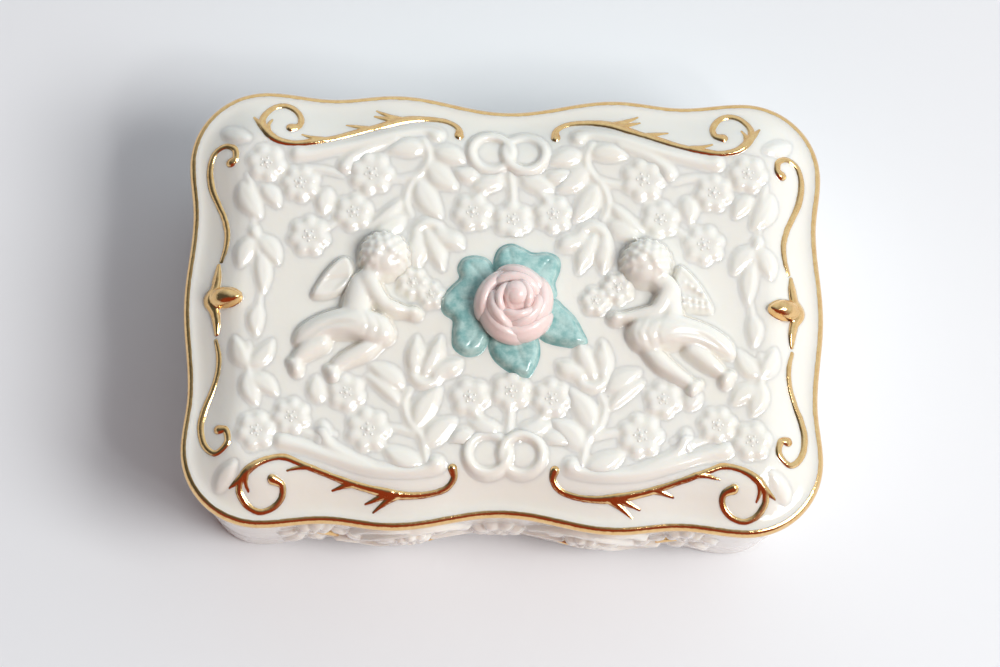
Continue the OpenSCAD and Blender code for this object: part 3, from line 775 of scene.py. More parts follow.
# %% Scrolls
# A long scroll is its stem, its curl and its thorns. Each line is a list of (x, y, radius).
LONG_SCROLL = {
    "back": ([[9.7, 35.5, 0.85], [9.9, 37.4, 0.55], [12.2, 38.9, 0.5], [16, 39.3, 0.55],
        [20.3, 38.9, 0.8], [23.8, 37.7, 0.75], [27, 36.6, 0.6], [31.2, 35.2, 0.62], [34.8, 34, 0.5],
        [39, 33.1, 0.6], [42.4, 32.6, 0.5], [45.6, 33.1, 0.6], [47.6, 34.4, 0.75], [49, 36.2, 0.7],
        [50.9, 38.6, 0.15]], [[48.8, 35.8, 0.6], [49.2, 38, 0.6], [48.2, 40, 0.55], [46.6, 41.3, 0.5],
        [44.6, 41.6, 0.5], [42.6, 40.6, 0.55], [41.5, 38.6, 0.55], [41.8, 36.8, 0.6], [43.4, 36.2, 0.9]],
        [[[21, 38.9, 0.6], [23.6, 39.6, 0.5], [26.4, 41, 0.12]], [[22.5, 38.4, 0.6], [24.6, 39, 0.45],
        [26.8, 39.6, 0.12]], [[28, 36.5, 0.55], [30.2, 36.9, 0.4], [32.4, 37.3, 0.12]], [[37, 33.7, 0.5],
        [39.2, 34, 0.35], [41.2, 34.6, 0.12]], [[48, 34.8, 0.6], [48, 36.6, 0.4], [47.2, 38.1, 0.12]]]),
    "front": ([[10, 33.3, 0.85], [9.7, 35, 0.55], [11.2, 36.9, 0.5], [14.2, 38, 0.5], [18.3, 38.5, 0.6],
        [22.4, 38.2, 0.8], [26.8, 37.3, 0.65], [30.4, 36.3, 0.6], [33.9, 35.1, 0.5], [37.3, 33.9, 0.55],
        [40.2, 32.8, 0.5], [42.8, 31.8, 0.6], [45.3, 32, 0.55], [47.8, 32.9, 0.6], [50, 34.4, 0.75],
        [51.5, 36.1, 0.65], [53.6, 37.6, 0.15]], [[51.4, 36, 0.55], [51.6, 38.4, 0.6], [50, 40.9, 0.55],
        [47.6, 42, 0.5], [45, 41.2, 0.5], [43.3, 39.2, 0.55], [43.3, 37.1, 0.6], [45.2, 36.1, 0.9]],
        [[[22, 38.3, 0.7], [24.4, 39.1, 0.5], [27, 40.2, 0.12]], [[20.6, 38.5, 0.6], [23, 39.8, 0.5],
        [25.4, 41.7, 0.12]], [[29, 36.7, 0.5], [31.2, 37, 0.4], [33.5, 37.8, 0.12]], [[38, 33.6, 0.5],
        [40.2, 33.8, 0.35], [42.4, 34.4, 0.12]], [[50.2, 34.6, 0.55], [50.4, 36.6, 0.4],
        [49.8, 38.4, 0.12]]])}
SIDE_SCROLL = {
    "back": [[55.2, 28.5, 0.85], [54.3, 29.5, 0.6], [54.6, 31.4, 0.55], [56.6, 32.2, 0.5],
        [58.6, 30.8, 0.5], [59.4, 27.6, 0.55], [58.9, 23.7, 0.6], [57.5, 20.2, 0.5], [56.2, 17.2, 0.5],
        [55.5, 14, 0.5], [55.7, 11, 0.45], [56.5, 8.2, 0.3]],
    "front": [[56, 26.2, 0.85], [54.6, 26.4, 0.6], [54.2, 28.9, 0.55], [56.5, 30.9, 0.5],
        [58.8, 29, 0.55], [59.6, 25.3, 0.6], [58.9, 21.7, 0.6], [57.6, 18.3, 0.5], [56.6, 14.8, 0.45],
        [56.4, 11.3, 0.45], [57.1, 8, 0.3]]}

# %% Model the scrolls
PAINTED = (0.14, 1.0, "gilding", GILDED, "painted")
for corner, flip in CORNERS.items():
    end = corner.split("_")[0]
    stem, curl, thorns = LONG_SCROLL[end]
    relief = Relief((6, 29), (57, 44.5), 0.11, flip=flip)
    for points in (stem, curl):
        relief.line(points, 0.72, gilt=0.10)
    for points in thorns:
        relief.line(points, 0.75, gilt=0.08)
    fire(relief, f"gilt_scroll_{corner}", *PAINTED)
    relief = Relief((52, 6), (62.5, 35), 0.11, flip=flip)
    relief.line(SIDE_SCROLL[end], 0.8, gilt=0.10)
    fire(relief, f"side_scroll_{corner}", *PAINTED)

SIDES = {"right": 1, "left": -1}
for side, flip in SIDES.items():
    relief = Relief((50.5, -9), (62.5, 9.5), 0.11, flip=(flip, 1))
    relief.line([[57.0, 7.4, 0.3], [57.2, 5, 0.75], [57.6, 2.6, 0.9], [58.4, 0.4, 1.35],
                 [57.6, -1.9, 0.9], [57.1, -4.3, 0.75], [57.0, -6.7, 0.35]], 1.1, gilt=0.10)
    relief.dome(55.9, 0.5, 3.0, 2.2, top=2.9)
    relief.leaf((57, 0.5), (51.9, 0.5), 1.9, 2.3, vein=0)
    w = relief.window((51.5, -2.2), (59, 3))
    q = relief.oval(w, 55.6, 0.5, 3.6, 2.25, 0)
    relief.gilt[w] = np.maximum(relief.gilt[w], (1 - np.sqrt(q)) * 2.2)
    fire(relief, f"gilt_bud_{side}", *PAINTED)
print("gilding done")

# %% [markdown]
# ## White scrolls, flower sprays and lilies
# Each corner holds a white scroll inside the gilt one, a spray of blossoms and veined leaves on a stem,
# and by the rose a lily with three buds.

# %% Flowers and leaves
# A blossom is (x, y, radius, petals), and a leaf is (root, tip, half width, bend).
WHITE_SCROLL = {
    "back": ([[14.2, 35.5, 1.3], [16.5, 36.5, 0.8], [22.5, 35.4, 0.75], [29, 33.2, 0.8],
        [35.6, 31.4, 0.85], [39.6, 30.5, 0.95], [41.9, 30.4, 1.2]], [[22.4, 34, 0.5], [27.7, 31.9, 0.7],
        [31, 29.9, 0.85], [32.4, 28, 1.2]]),
    "front": ([[13.3, 32.5, 1.3], [15.3, 33.6, 0.8], [20.3, 34.1, 0.75], [26.9, 33.5, 0.8],
        [33, 31.7, 0.85], [39, 29.7, 0.95], [43.6, 28.5, 1.2]], [[26, 33, 0.5], [30.3, 31.3, 0.7],
        [34.2, 29.1, 0.85], [35.6, 26.6, 1.2]])}
SPRAY = {
    "back": {
        "blossoms": [(27.2, 26.6, 4.4, 7), (30.6, 18.4, 3.8, 6), (41.3, 24.2, 3.8, 7),
            (48.2, 28.3, 3.8, 6), (39.3, 13.3, 4.1, 7)],
        "stems": [[[16.9, 34.1, 0.5], [15.7, 30.6, 0.55], [16.9, 27.6, 0.6], [19.4, 24.5, 0.55],
            [20.2, 20.8, 0.5], [19.0, 18, 0.35]], [[18.4, 26.4, 0.45], [20.8, 25.7, 0.45],
            [23.4, 25.3, 0.35]], [[33, 26.2, 0.4], [36.6, 27.2, 0.45], [40.2, 27.4, 0.4]],
            [[34.2, 16.2, 0.35], [36.2, 14.8, 0.4], [37.6, 13.9, 0.3]]],
        "leaves": [((16.8, 32.2), (24.0, 31.4), 1.9, 0.4), ((14.6, 31.6), (8.4, 29.6), 1.9, -0.4),
            ((15.8, 29.0), (9.9, 23.9), 2.2, 0.5), ((17.8, 25.4), (13, 17.4), 2.2, 0.5), ((20.4, 17.6),
            (26.4, 14.2), 1.9, -0.3), ((20.9, 21.2), (27.6, 15.6), 1.2, -0.5), ((57.1, 35.7),
            (51.4, 33.4), 1.6, 0.2), ((35.6, 23.2), (36.6, 17.8), 1.8, 0.3)]},
    "front": {
        "blossoms": [(26.8, 26.0, 4.4, 7), (31.2, 18.6, 3.7, 6), (41.9, 23.6, 3.7, 7),
            (48.7, 26.6, 3.8, 6)],
        "stems": [[[15.1, 32.6, 0.5], [16.4, 27, 0.6], [18.6, 24.4, 0.6], [19.8, 20.4, 0.5],
            [18.5, 17.5, 0.35]], [[17.8, 26.5, 0.45], [20.4, 25.7, 0.45], [23, 25.3, 0.35]],
            [[33.2, 27, 0.4], [36.8, 27.4, 0.45], [39.8, 26.4, 0.35]]],
        "leaves": [((20.1, 17.1), (26.8, 12.8), 1.9, -0.4), ((20.6, 20.7), (27.6, 14.9), 1.2, -0.5),
            ((17.4, 25), (12.6, 16.9), 2.2, 0.5), ((15.4, 28.8), (9.4, 23.4), 2.2, 0.5), ((16.1, 32.8),
            (23.6, 29.4), 2.0, 0.4), ((56.0, 38.2), (52.4, 32.6), 1.5, 0.3), ((35.6, 24.4),
            (36.6, 29.2), 1.5, 0.5), ((36.2, 20.6), (37.2, 15.2), 1.8, 0.4)]}}

# %% Model the corners
THICK = 0.4   # the glaze lies thickest over the flowers
for corner, flip in CORNERS.items():
    end = corner.split("_")[0]
    relief = Relief((10, 22), (47, 39), 0.14, flip=flip)
    for points in WHITE_SCROLL[end]:
        relief.line([[x, y, r * 1.22] for x, y, r in points], 0.9)
    fire(relief, f"white_scroll_{corner}", THICK, 0.72)

    relief = Relief((6, 8), (58, 39.5), 0.15, melt=0.2, flip=flip)
    for points in SPRAY[end]["stems"]:
        relief.line(points, 1.3)
    for a, b, wide, bend in SPRAY[end]["leaves"]:
        relief.leaf(a, b, wide, 1.15, bend)
    for k, (x, y, r, petals) in enumerate(SPRAY[end]["blossoms"]):
        relief.blossom(x, y, r, petals, turn=17 * k + (0 if flip[0] > 0 else 23))
    fire(relief, f"flower_spray_{corner}", THICK, 0.68)

    relief = Relief((6.5, 5), (22.5, 20), 0.13, flip=flip, shift=0.8)
    relief.line([[19.2, 12.4, 0.5], [18.9, 14.9, 0.95], [16.9, 16.5, 1.1], [14.6, 16, 0.9],
                 [13.6, 14.6, 0.6]], 1.1)
    relief.leaf((15.2, 15.2), (9.2, 11.6), 1.6, 1.4, 0.3, vein=0.1)
    relief.leaf((17, 15.2), (13.4, 6.6), 1.6, 1.5, -0.3, vein=0.1)
    relief.leaf((18.4, 15), (18.2, 6.7), 1.6, 1.5, 0.4, vein=0.1)
    for px, py, turn in ((11.4, 13.0, 30), (14.6, 10.2, 68), (18.4, 10.3, 92)):
        relief.dome(px, py, 2.1, 1.7, turn, top=1.5)
    fire(relief, f"lily_{corner}", THICK, 0.64)
print("sprays done,", len(EYES), "blossoms so far")

# %% [markdown]
# ## Linked rings and their posies
# Two rings are linked as wedding rings are: each passes over the other on one side and under it on the
# other, which the heights below give by letting each ring lean. Three blossoms on ribbon stems fan out
# from them towards the rose.

# %% Rings and posies
for end, k, middle in (("back", 1, 31.8), ("front", -1, 30.2)):
    relief = Relief((-9.5, middle - 5.6), (9.5, middle + 5.6), 0.12, melt=0.08, flip=(1, k))
    turn = np.linspace(0, 2 * np.pi, 49)
    for x, lean in ((-3.3, 1), (3.5, -1)):
        circle = np.stack([x + 4.0 * np.cos(turn), middle + 3.9 * np.sin(turn),
                           0.3 + 0.4 * lean * np.sin(turn), np.full(49, 0.98)], 1)
        relief.limb(circle, 0.85)
    fire(relief, f"wedding_rings_{end}", 0.26, 0.82)

    relief = Relief((-13.5, 14), (14.5, 28.5), 0.14, melt=0.2, flip=(1, k))
    row = [(-6.9, 19.0, 3.9, 6), (1.1, 17.6, 3.9, 6), (9.2, 18.9, 3.9, 7)]
    for j, (x, y, r, petals) in enumerate(row):
        relief.line([[x * 0.9, y + 3, 0.65], [x * 0.55 + 0.4, y + 5.6, 0.65],
                     [x * 0.25 + 0.3, 27.4, 0.55]], 1.15)
        relief.blossom(x, y, r, petals, turn=11 + 25 * j)
    for side in (-1, 1):
        relief.leaf((side * 1.8 + 0.9, 25.7), (side * 8.2 + 1.2, 24.0), 1.8, 1.2, 0.3 * side)
        relief.leaf((side * 6.8 + 1.0, 26.4), (side * 11.8 + 1.2, 27.9), 1.7, 1.2, -0.3 * side)
    fire(relief, f"ring_posy_{end}", THICK, 0.68)

# %% [markdown]
# ## Side vines
# Paired leaves on a thin stem fill each short side between the cherub and the gilding.

# %% Vines
VINE = [((53.2, 24), (48.8, 16.8), 2.2, 0.4), ((48.8, 23.6), (45.3, 19.0), 1.6, -0.4), ((50.4, 15.3),
    (49.2, 12.4), 1.0, 0.2), ((50.4, 12.6), (52.9, 6.5), 1.9, 0.5), ((49.2, 13), (45, 7.3), 1.9, -0.5),
    ((48.9, 9.7), (48.1, 1.0), 1.6, -0.4), ((48.9, -1.0), (49.1, -7.6), 1.6, 0.4), ((50.8, -13.6),
    (53.6, -7.4), 1.7, -0.5), ((50.2, -13.6), (45.8, -8.0), 1.7, 0.5), ((50.6, -14.6),
    (48.6, -21.6), 1.9, 0.5), ((49.8, -15.6), (44.6, -19.4), 1.7, -0.5)]
STALKS = [[[52, 26, 0.3], [51, 23, 0.5], [50.4, 19, 0.4], [50.4, 16, 0.3]], [[50.2, 14, 0.35],
    [49.4, 10, 0.5], [48.8, 6, 0.3]], [[48.6, 1.6, 0.3], [48.8, -1, 0.5], [48.9, -4, 0.3]],
    [[50.6, -9, 0.3], [50.7, -13, 0.5], [50.2, -17, 0.3]]]
for side, flip in SIDES.items():
    relief = Relief((42.5, -24), (56, 29), 0.14, flip=(flip, 1))
    for points in STALKS:
        relief.line(points, 1.1)
    for a, b, wide, bend in VINE:
        relief.leaf(a, b, wide, 1.05, bend)
    fire(relief, f"side_vine_{side}", 0.36, 0.68)

# %% [markdown]
# ## The cherubs
# Each cherub lies on its side with its head towards the rose, one arm stretched to a posy, and its legs
# trailing. They are the highest moulding on the lid. Each body is built from rolls and domes that melt
# into each other, as if smoothed with a wet finger. The head is a ball, and the hair is a cap of small
# curls that leaves a round face free, on the side towards the rose. The faces are calm and plain.

# %% Cherubs
# Rolls are lists of (x, y, height, radius), a foot is (x, y, turn), feathers are (from, to, count).
CHERUB = {
    "right": {
        "head": (27.6, 8.7),
        "neck": [[29.4, 6.2, 2.6, 2.0], [31.6, 4.6, 2.2, 2.2]],
        "torso": [[31.8, 4.2, 1.4, 2.3], [32.5, 3.0, 1.4, 2.4], [32.4, 0.4, 1.5, 2.6],
            [32.5, -2.6, 1.4, 2.9], [32.6, -4.6, 1.2, 3.2]],
        "arm": [[32.4, 3.6, 2.7, 1.9], [31.2, 1.2, 2.8, 1.75], [29.8, -0.8, 2.6, 1.6],
            [27.6, -1.5, 2.3, 1.45], [25.4, -1.9, 2.0, 1.25], [23.2, -2.2, 1.9, 1.0]],
        "hand": (21.9, -2.4),
        "thigh": [[33, -5.4, 1.5, 3.0], [29.6, -5.7, 1.7, 2.9], [27.2, -6.2, 1.8, 2.7]],
        "shin": [[28.0, -7.8, 1.2, 1.8], [30.6, -11.0, 1.2, 1.9], [33.4, -13.1, 1.1, 1.6],
            [36, -14.8, 0.9, 1.2]],
        "foot": (37.2, -16.3, 72),
        "far_shin": [[37, -8.4, 1.2, 2.0], [39.8, -10.6, 1.1, 1.8], [42.2, -12.4, 0.9, 1.25]],
        "far_foot": (43.7, -14.2, 70),
        "cloth": [[27.0, -5.5, 1.8, 2.9], [30, -4.9, 1.9, 3.2], [33, -4.7, 1.9, 3.3],
            [36.4, -5.2, 1.6, 3.0], [39.6, -6, 1.3, 2.6], [42.6, -7.4, 1.0, 2.1], [44.4, -9, 0.6, 1.2]],
        "folds": [[[30, -2.9], [35.6, -3.5], [40.6, -4.9], [43.8, -7.2]], [[33, -5.6], [38.2, -5.9],
            [43, -8.6]], [[34, -7.2], [38.4, -7.6], [41.6, -9.2]], [[26.7, -3.4], [25.9, -5.8],
            [26.9, -8.3]], [[28.4, -3], [27.6, -5.8], [28.8, -8.8]], [[30.6, -3.2], [29.9, -6],
            [31, -8.8]], [[25.3, -8.0], [27.2, -9.3], [29.8, -9.1], [32.6, -8.1], [36, -8.3]]],
        "wing": [[34.2, 8.7], [35.8, 8.1], [38.1, 5.6], [40.1, 2.4], [41.1, 0.2], [40.4, -0.8],
            [37.5, -0.7], [35.5, -0.3], [34.6, 1.9], [33.2, 5.2]],
        "feathers": [([35.0, 0.6], [40.0, -0.1], 5), ([34.9, 2.0], [39.9, 1.1], 5), ([35.3, 5.2],
            [39.0, 2.8], 4)],
        "posy": [(22.1, 3.9, 3.3, 7), (17.7, 1.1, 2.9, 6)]},
    "left": {
        "head": (24.0, 9.0),
        "neck": [[25.6, 6.4, 2.6, 2.0], [27.2, 4.8, 2.2, 2.2]],
        "torso": [[27.6, 4.2, 1.4, 2.4], [28.7, 3.0, 1.4, 2.7], [29.2, 0.5, 1.5, 2.9],
            [29.5, -2.4, 1.4, 3.1], [29.2, -4.4, 1.2, 3.2]],
        "arm": [[27, 3.8, 2.8, 1.9], [25.8, 1.4, 2.9, 1.75], [24.2, -0.6, 2.7, 1.6],
            [22.2, -1.5, 2.4, 1.45], [20.6, -1.9, 2.0, 1.2], [19.4, -2.1, 1.9, 1.0]],
        "hand": (18.2, -2.2),
        "thigh": [[29.6, -4.8, 1.5, 3.0], [26.6, -5.6, 1.7, 2.9], [24.5, -6.4, 1.8, 2.6]],
        "shin": [[25.2, -7.6, 1.2, 1.8], [27.6, -9.9, 1.2, 1.9], [30.8, -11.6, 1.1, 1.6],
            [33.0, -13, 0.9, 1.2]],
        "foot": (33.8, -14.9, 82),
        "far_shin": [[36.4, -8.6, 1.1, 2.0], [39, -10.2, 1.0, 1.8], [40.8, -11.8, 0.9, 1.25]],
        "far_foot": (41.1, -13.6, 84),
        "cloth": [[25.2, -5.2, 1.6, 2.7], [28, -4.8, 1.8, 3.1], [31, -4.5, 1.8, 3.1],
            [34, -4.9, 1.5, 2.8], [37, -5.8, 1.2, 2.4], [39.4, -7.0, 0.9, 1.9], [40.8, -8.3, 0.6, 1.1]],
        "folds": [[[30, -2.6], [34, -3.1], [37.6, -4.2], [40.2, -6.5]], [[30, -5.2], [34.4, -5.4],
            [39.4, -7.8]], [[30.4, -7.2], [34.6, -7], [38, -8.6]], [[26, -3.2], [25.2, -5.8],
            [25.9, -7.8]], [[28, -2.8], [27.2, -5.6], [28.2, -8]], [[22.8, -8.2], [24.8, -9.2],
            [27.4, -8.6], [30.4, -7.9], [34, -8]]],
        "wing": [[31.3, 8.8], [33.3, 8.6], [35.8, 6.0], [37.7, 3.0], [38.6, 0.9], [37.2, 0.3],
            [35.1, 0.6], [33.1, 1.3], [31.0, 3.2], [30.1, 6.2]],
        "feathers": [],
        "posy": [(18.6, 4.0, 3.3, 7), (15.0, 1.6, 2.8, 6)]}}

# %% Model the cherubs
HEAD, CURLS, CURL_TOP = 4.65, (4.95, 4.85), 5.95
for side, flip in SIDES.items():
    c = CHERUB[side]
    x, y = c["head"]
    relief = Relief((x - 9.6, -19.4), (x + 20, 15), 0.13, melt=0.26, flip=(flip, 1))
    for part in ("torso", "neck", "thigh", "shin", "far_shin", "cloth", "arm"):
        relief.limb(flow(c[part], 5))
    for line in c["folds"]:
        relief.groove(line, 0.42, 0.34)
        relief.groove([[a, b + 0.75] for a, b in line], -0.2, 0.4)
    arm = [p[:2] for p in c["arm"]]
    relief.groove([[a + 0.9, b - 1.75] for a, b in arm[1:4]], 0.35, 0.4)
    for fx, fy, turn in (c["foot"], c["far_foot"]):
        relief.dome(fx, fy, 2.1, 1.35, turn, top=2.4, low=0.3)
        relief.dome(fx + 0.9, fy + 0.9, 1.0, 1.0, 0, top=2.2)
    hx, hy = c["hand"]
    relief.dome(hx, hy, 1.75, 1.4, 10, top=3.2, low=0.4)
    for k in range(3):
        relief.groove([[hx - 0.6, hy - 0.7 + 0.7 * k], [hx - 1.8, hy - 0.9 + 0.75 * k]], 0.3, 0.2)
    relief.dome(x, y, HEAD, 4.6, 0, top=6.6, low=0.8)
    w = relief.window((x - 6, y - 6), (x + 6, y + 6))
    face = np.hypot(relief.U[w] - (x - 1.9), (relief.V[w] - (y - 2.1)) * 0.92)
    cx, cy = x + 0.25, y + 0.3
    cap = relief.oval(w, cx, cy, *CURLS, 0)
    cap = np.where(cap < 1, 1.0 + CURL_TOP * np.sqrt(np.clip(1 - cap, 0, 1)), 0)
    relief.lay(w, cap * np.clip((face - 2.5) / 1.0, 0, 1))
    for reach, count in ((1.5, 4), (2.9, 8), (4.1, 12)):
        for k in range(count):
            a = math.radians(-50 + 255 * (k + 0.5) / count)
            dx, dy = reach * math.cos(a), reach * math.sin(a)
            high = 1.3 + CURL_TOP * math.sqrt(max(1 - (dx / CURLS[0]) ** 2 - (dy / CURLS[1]) ** 2, 0.02))
            relief.dome(cx + dx, cy + dy, 1.0, 0.85, math.degrees(a), top=high + 0.3, low=high - 0.9)
            relief.carve(cx + dx, cy + dy, 0.22, 0.22, 0, 0.3)
    relief.groove([[x - 2.85, y - 1.4], [x - 3.0, y - 2.6]], -0.55, 0.42)
    for dx in (-3.9, -1.6):
        relief.groove([[x + dx - 0.55, y - 1.5], [x + dx, y - 1.75], [x + dx + 0.55, y - 1.55]],
                      0.5, 0.26)
    relief.groove([[x - 3.2, y - 3.3], [x - 2.6, y - 3.45], [x - 2.0, y - 3.3]], 0.45, 0.22)
    relief.groove([[x - 1.0, y - 2.9], [x - 0.7, y - 2.6]], -0.22, 0.7)
    fire(relief, f"cherub_{side}", 0.3, 0.76, "cherub_porcelain")

    relief = Relief((x + 2.5, -4), (x + 17, 12), 0.13, melt=0.15, flip=(flip, 1))
    wing = np.array(c["wing"])
    relief.pad(wing, top=2.0, shoulder=0.9, tilt=(-0.05, 0.05))
    root = wing[9] * 0.7 + wing[8] * 0.3
    for k in range(5):
        tip = wing[3] * (1 - k / 4) + wing[6] * k / 4
        relief.groove([root * 0.85 + tip * 0.15, root * 0.4 + tip * 0.6 + [0.3, 0.3], tip], 0.32, 0.32)
    relief.groove([wing[0] * 0.8 + root * 0.2, wing[1] * 0.8 + root * 0.2, wing[2] * 0.86 + root * 0.14,
                   wing[3] * 0.9 + root * 0.1, wing[4] * 0.93 + root * 0.07], -0.3, 0.5)
    for first, last, count in c["feathers"]:
        for u, v in np.linspace(first, last, count):
            relief.dome(u, v, 0.72, 0.5, -25, top=2.5, low=1.75)
    fire(relief, f"cherub_wing_{side}", 0.24, 0.85, "cherub_porcelain")

    relief = Relief((11.5, -2), (26, 8.5), 0.13, flip=(flip, 1))
    for j, (px, py, r, petals) in enumerate(c["posy"]):
        relief.blossom(px, py, r, petals, turn=20 + 31 * j, top=1.9 if j == 0 else 1.6)
    fire(relief, f"cherub_posy_{side}", 0.36, 0.72, "cherub_porcelain")
print("cherubs done")

# %% [markdown]
# ## The rose leaves
# The leaves are pats of clay with thick, round edges, laid on the lid before the rose goes down on them.
# The glaze on them is mottled, gathers dark in the hollows and thins on the edges.

# %% Leaves
ROSE_X, ROSE_Y = 1.5, -0.6
LEAVES = {
    "back": [[-1.8, 4], [-2.3, 8.2], [-1.4, 11.2], [0.8, 12.3], [2.9, 11.6], [5.2, 10.5], [8.0, 10.7],
        [10.2, 9.6], [10.3, 7.2], [9.4, 4.6], [9.6, 1.8], [6, 0], [0, 0]],
    "left": [[-1, 3], [-3.2, 8.3], [-5.6, 9.6], [-8.3, 9.2], [-9.4, 7.2], [-9.0, 5.2], [-10.8, 3.2],
        [-12.7, 0.6], [-12.1, -1.9], [-10.2, -3.4], [-10.3, -6.2], [-10.0, -8.9], [-7.7, -10.5],
        [-5.0, -9.9], [-3.7, -7.8], [-2, -4], [0, 0]],
    "front": [[-1.4, -4], [-3.1, -7.8], [-2.1, -11.0], [0.8, -13.4], [4.2, -14.6], [5.6, -12.9],
        [6.5, -10.2], [6.2, -7.2], [4.5, -3.5]],
    "right": [[4, 0], [8.9, 1.4], [11.4, -0.4], [13.6, -2.6], [15, -5.2], [15.9, -7.4], [14.0, -8.2],
        [11.2, -8.0], [8.0, -7.2], [6.0, -5.5], [4, -3]]}
VEINS = {
    "back": [[[2, 4], [1.2, 7.5], [0.4, 11]], [[5, 4], [7, 7], [8.6, 9]]],
    "left": [[[-3, 3], [-5.5, 6], [-7.4, 8]], [[-5, 0], [-8.5, 0.4], [-11.6, -0.2]], [[-4, -4], [-6, -7],
        [-7.4, -9.2]]],
    "front": [[[2.2, -6], [2.4, -9.5], [4, -13.4]]],
    "right": [[[7, -2], [11, -4.2], [15, -7]]]}

# %% Model the leaves
for name, shape in LEAVES.items():
    shape = np.array(shape)
    relief = Relief(shape.min(0) - 1.5, shape.max(0) + 1.5, 0.13, melt=0.12)
    relief.pad(shape, top=1.7, shoulder=1.5)
    for vein in VEINS[name]:
        for px, py in flow(vein, 10):
            relief.carve(px, py, 0.42, 0.42, 0, 0.09)
    fire(relief, f"rose_leaf_{name}", 0.2, 1.0, "leaf_glaze", GREEN)

# %% [markdown]
# ## The rose
# The maker rolls the heart, then wraps petal after petal round it, each pinched thin at its lip and
# rolled outwards, and each tucked behind the one before. One rule makes every petal: a strip that goes
# up the outside, over the round lip and down the inside, lower and thinner towards its two ends.

# %% One petal
BED, TOP = PANEL + 0.2, cad_high[2] / MM   # where the petals stand, and the rose's highest point
ACROSS, LIP = 41, 9                        # points across a petal, and round its lip


def petal(name, facing, half, belly, top, lean, thick=1.0, tuck=0.5, slant=0.0, nodes=None):
    """facing and half are angles in degrees; belly is the widest radius; lean closes the lip inwards."""
    rows, folds = [], []
    for p in np.linspace(-1, 1, ACROSS):
        ends = 1 - abs(p) ** 3
        a = math.radians(facing + half * p)
        tall = (top - BED) * (0.62 + 0.38 * ends) + slant * p
        wide = belly * (1 + 0.018 * math.sin(2.6 * p + facing)) + tuck * p
        w = max(thick / 2 * (1 - abs(p) ** 6) ** 0.5, 0.02)
        close = lean * (0.7 + 0.3 * ends)
        line = flow([[wide * 0.62, BED], [wide * 0.9, BED + 0.2 * tall], [wide, BED + 0.48 * tall],
                     [wide - 0.25 * close, BED + 0.78 * tall], [wide - close, BED + tall]], 5)
        run = np.gradient(line, axis=0)
        run /= np.hypot(*run.T)[:, None]
        out = np.stack([run[:, 1], -run[:, 0]], 1)
        roll = (w * (0.8 + 0.35 * np.linspace(0, 1, len(line)) ** 3))[:, None]
        lip = [line[-1] + roll[-1] * (out[-1] * math.cos(t) + run[-1] * math.sin(t))
               for t in np.linspace(0.25, np.pi - 0.25, LIP)]
        profile = np.vstack([line + roll * out, lip, (line - roll * out)[::-1]])
        # painted shade: deeper pink low on the petal's outside and down its inside
        fold_shade = np.r_[np.linspace(0.8, 0.05, len(line)), np.zeros(LIP), np.linspace(0.1, 1, len(line))]
        rows.append([[ROSE_X + r * math.cos(a), ROSE_Y + r * math.sin(a), z] for r, z in profile])
        folds.append(fold_shade)
    points = np.array(rows)
    made = new_piece(f"{name}_glazed", points.reshape(-1, 3), grid_faces(*points.shape[:2]),
                     {"fold_shade": np.array(folds)})
    return settle(made, "lid", PINK, [name] if nodes is None else nodes)


# %% The heart
HEART = flow([[0.02, TOP - 0.12], [0.8, TOP - 0.25], [1.6, TOP - 0.7], [2.15, TOP - 1.4],
              [2.4, TOP - 2.2], [2.75, TOP - 2.9], [3.5, TOP - 3.4], [4.6, TOP - 4.0],
              [5.4, TOP - 5.0], [5.7, TOP - 6.2], [5.6, BED + 1.5], [5.4, BED - 0.1]], 5)
a = np.linspace(0, 2 * np.pi, 120, endpoint=False)
points, fold_shade = [], []
for k, (r, z) in enumerate(HEART):
    q = k / (len(HEART) - 1)
    seam = ((a - 2.4 - 5 * q) / (2 * np.pi)) % 1
    step = 0.5 * seam ** 3 * math.sin(min(q * 3.2, 1) * math.pi / 2) * min(max((5 - r) / 2, 0), 1)
    lean = max(z - (TOP - 4), 0) / 4
    x = ROSE_X + 0.1 + 0.35 * lean + (r + step) * np.cos(a)
    y = ROSE_Y + 0.9 * min(lean * 2, 1) + (r + step) * 1.02 * np.sin(a)
    points.append(np.stack([x, y, z + 0 * a], 1))
    # painted shade: deeper pink in the heart's crease, along its seam and low down under the petals
    crease = math.exp(-((q - 0.46) / 0.10) ** 2)
    fold_shade.append(np.clip(0.75 * crease + 0.7 * seam ** 14 * (q < 0.5) + 0.9 * max(q - 0.62, 0), 0, 1))
heart = new_piece("rose_heart_glazed", np.vstack(points),
                  grid_faces(len(HEART), len(a), round_columns=True), {"fold_shade": np.array(fold_shade)})
settle(heart, "lid", PINK, ["rose_heart"])

# %% Petals round the heart
# Facing, half width, radius, lip below the top, lean, thickness, tuck and slant of each petal.
PETALS = {
    "core": [(20, 78, 3.5, 1.5, 0.7, 1.35, 0.45, 0.35), (165, 84, 3.7, 1.9, 0.7, 1.35, 0.4, 0.3),
             (275, 76, 4.2, 2.3, 0.8, 1.4, 0.45, 0.3)],
    "inner": [(205, 66, 5.4, 3.0, 1.0, 1.75, 0.55, 0.35), (318, 70, 5.5, 3.3, 1.0, 1.75, 0.45, 0.3),
              (80, 78, 5.6, 2.8, 1.1, 1.75, 0.25, -0.2)],
    "outer": [(150, 58, 6.9, 4.1, 1.2, 1.95, 0.4, 0.3), (226, 60, 7.0, 4.8, 1.2, 1.95, 0.5, 0.3),
              (290, 60, 7.2, 5.0, 1.2, 1.95, 0.45, 0.2), (352, 60, 6.8, 4.1, 1.2, 1.9, 0.5, 0.4),
              (62, 58, 6.9, 3.8, 1.2, 1.9, 0.4, -0.2)]}
for layer, petals in PETALS.items():
    for k, (facing, half, belly, below, *rest) in enumerate(petals, 1):
        petal(f"rose_{layer}_petal_{k}", facing, half, belly, TOP - below, *rest,
              nodes=[] if layer == "core" else None)
print("rose done")

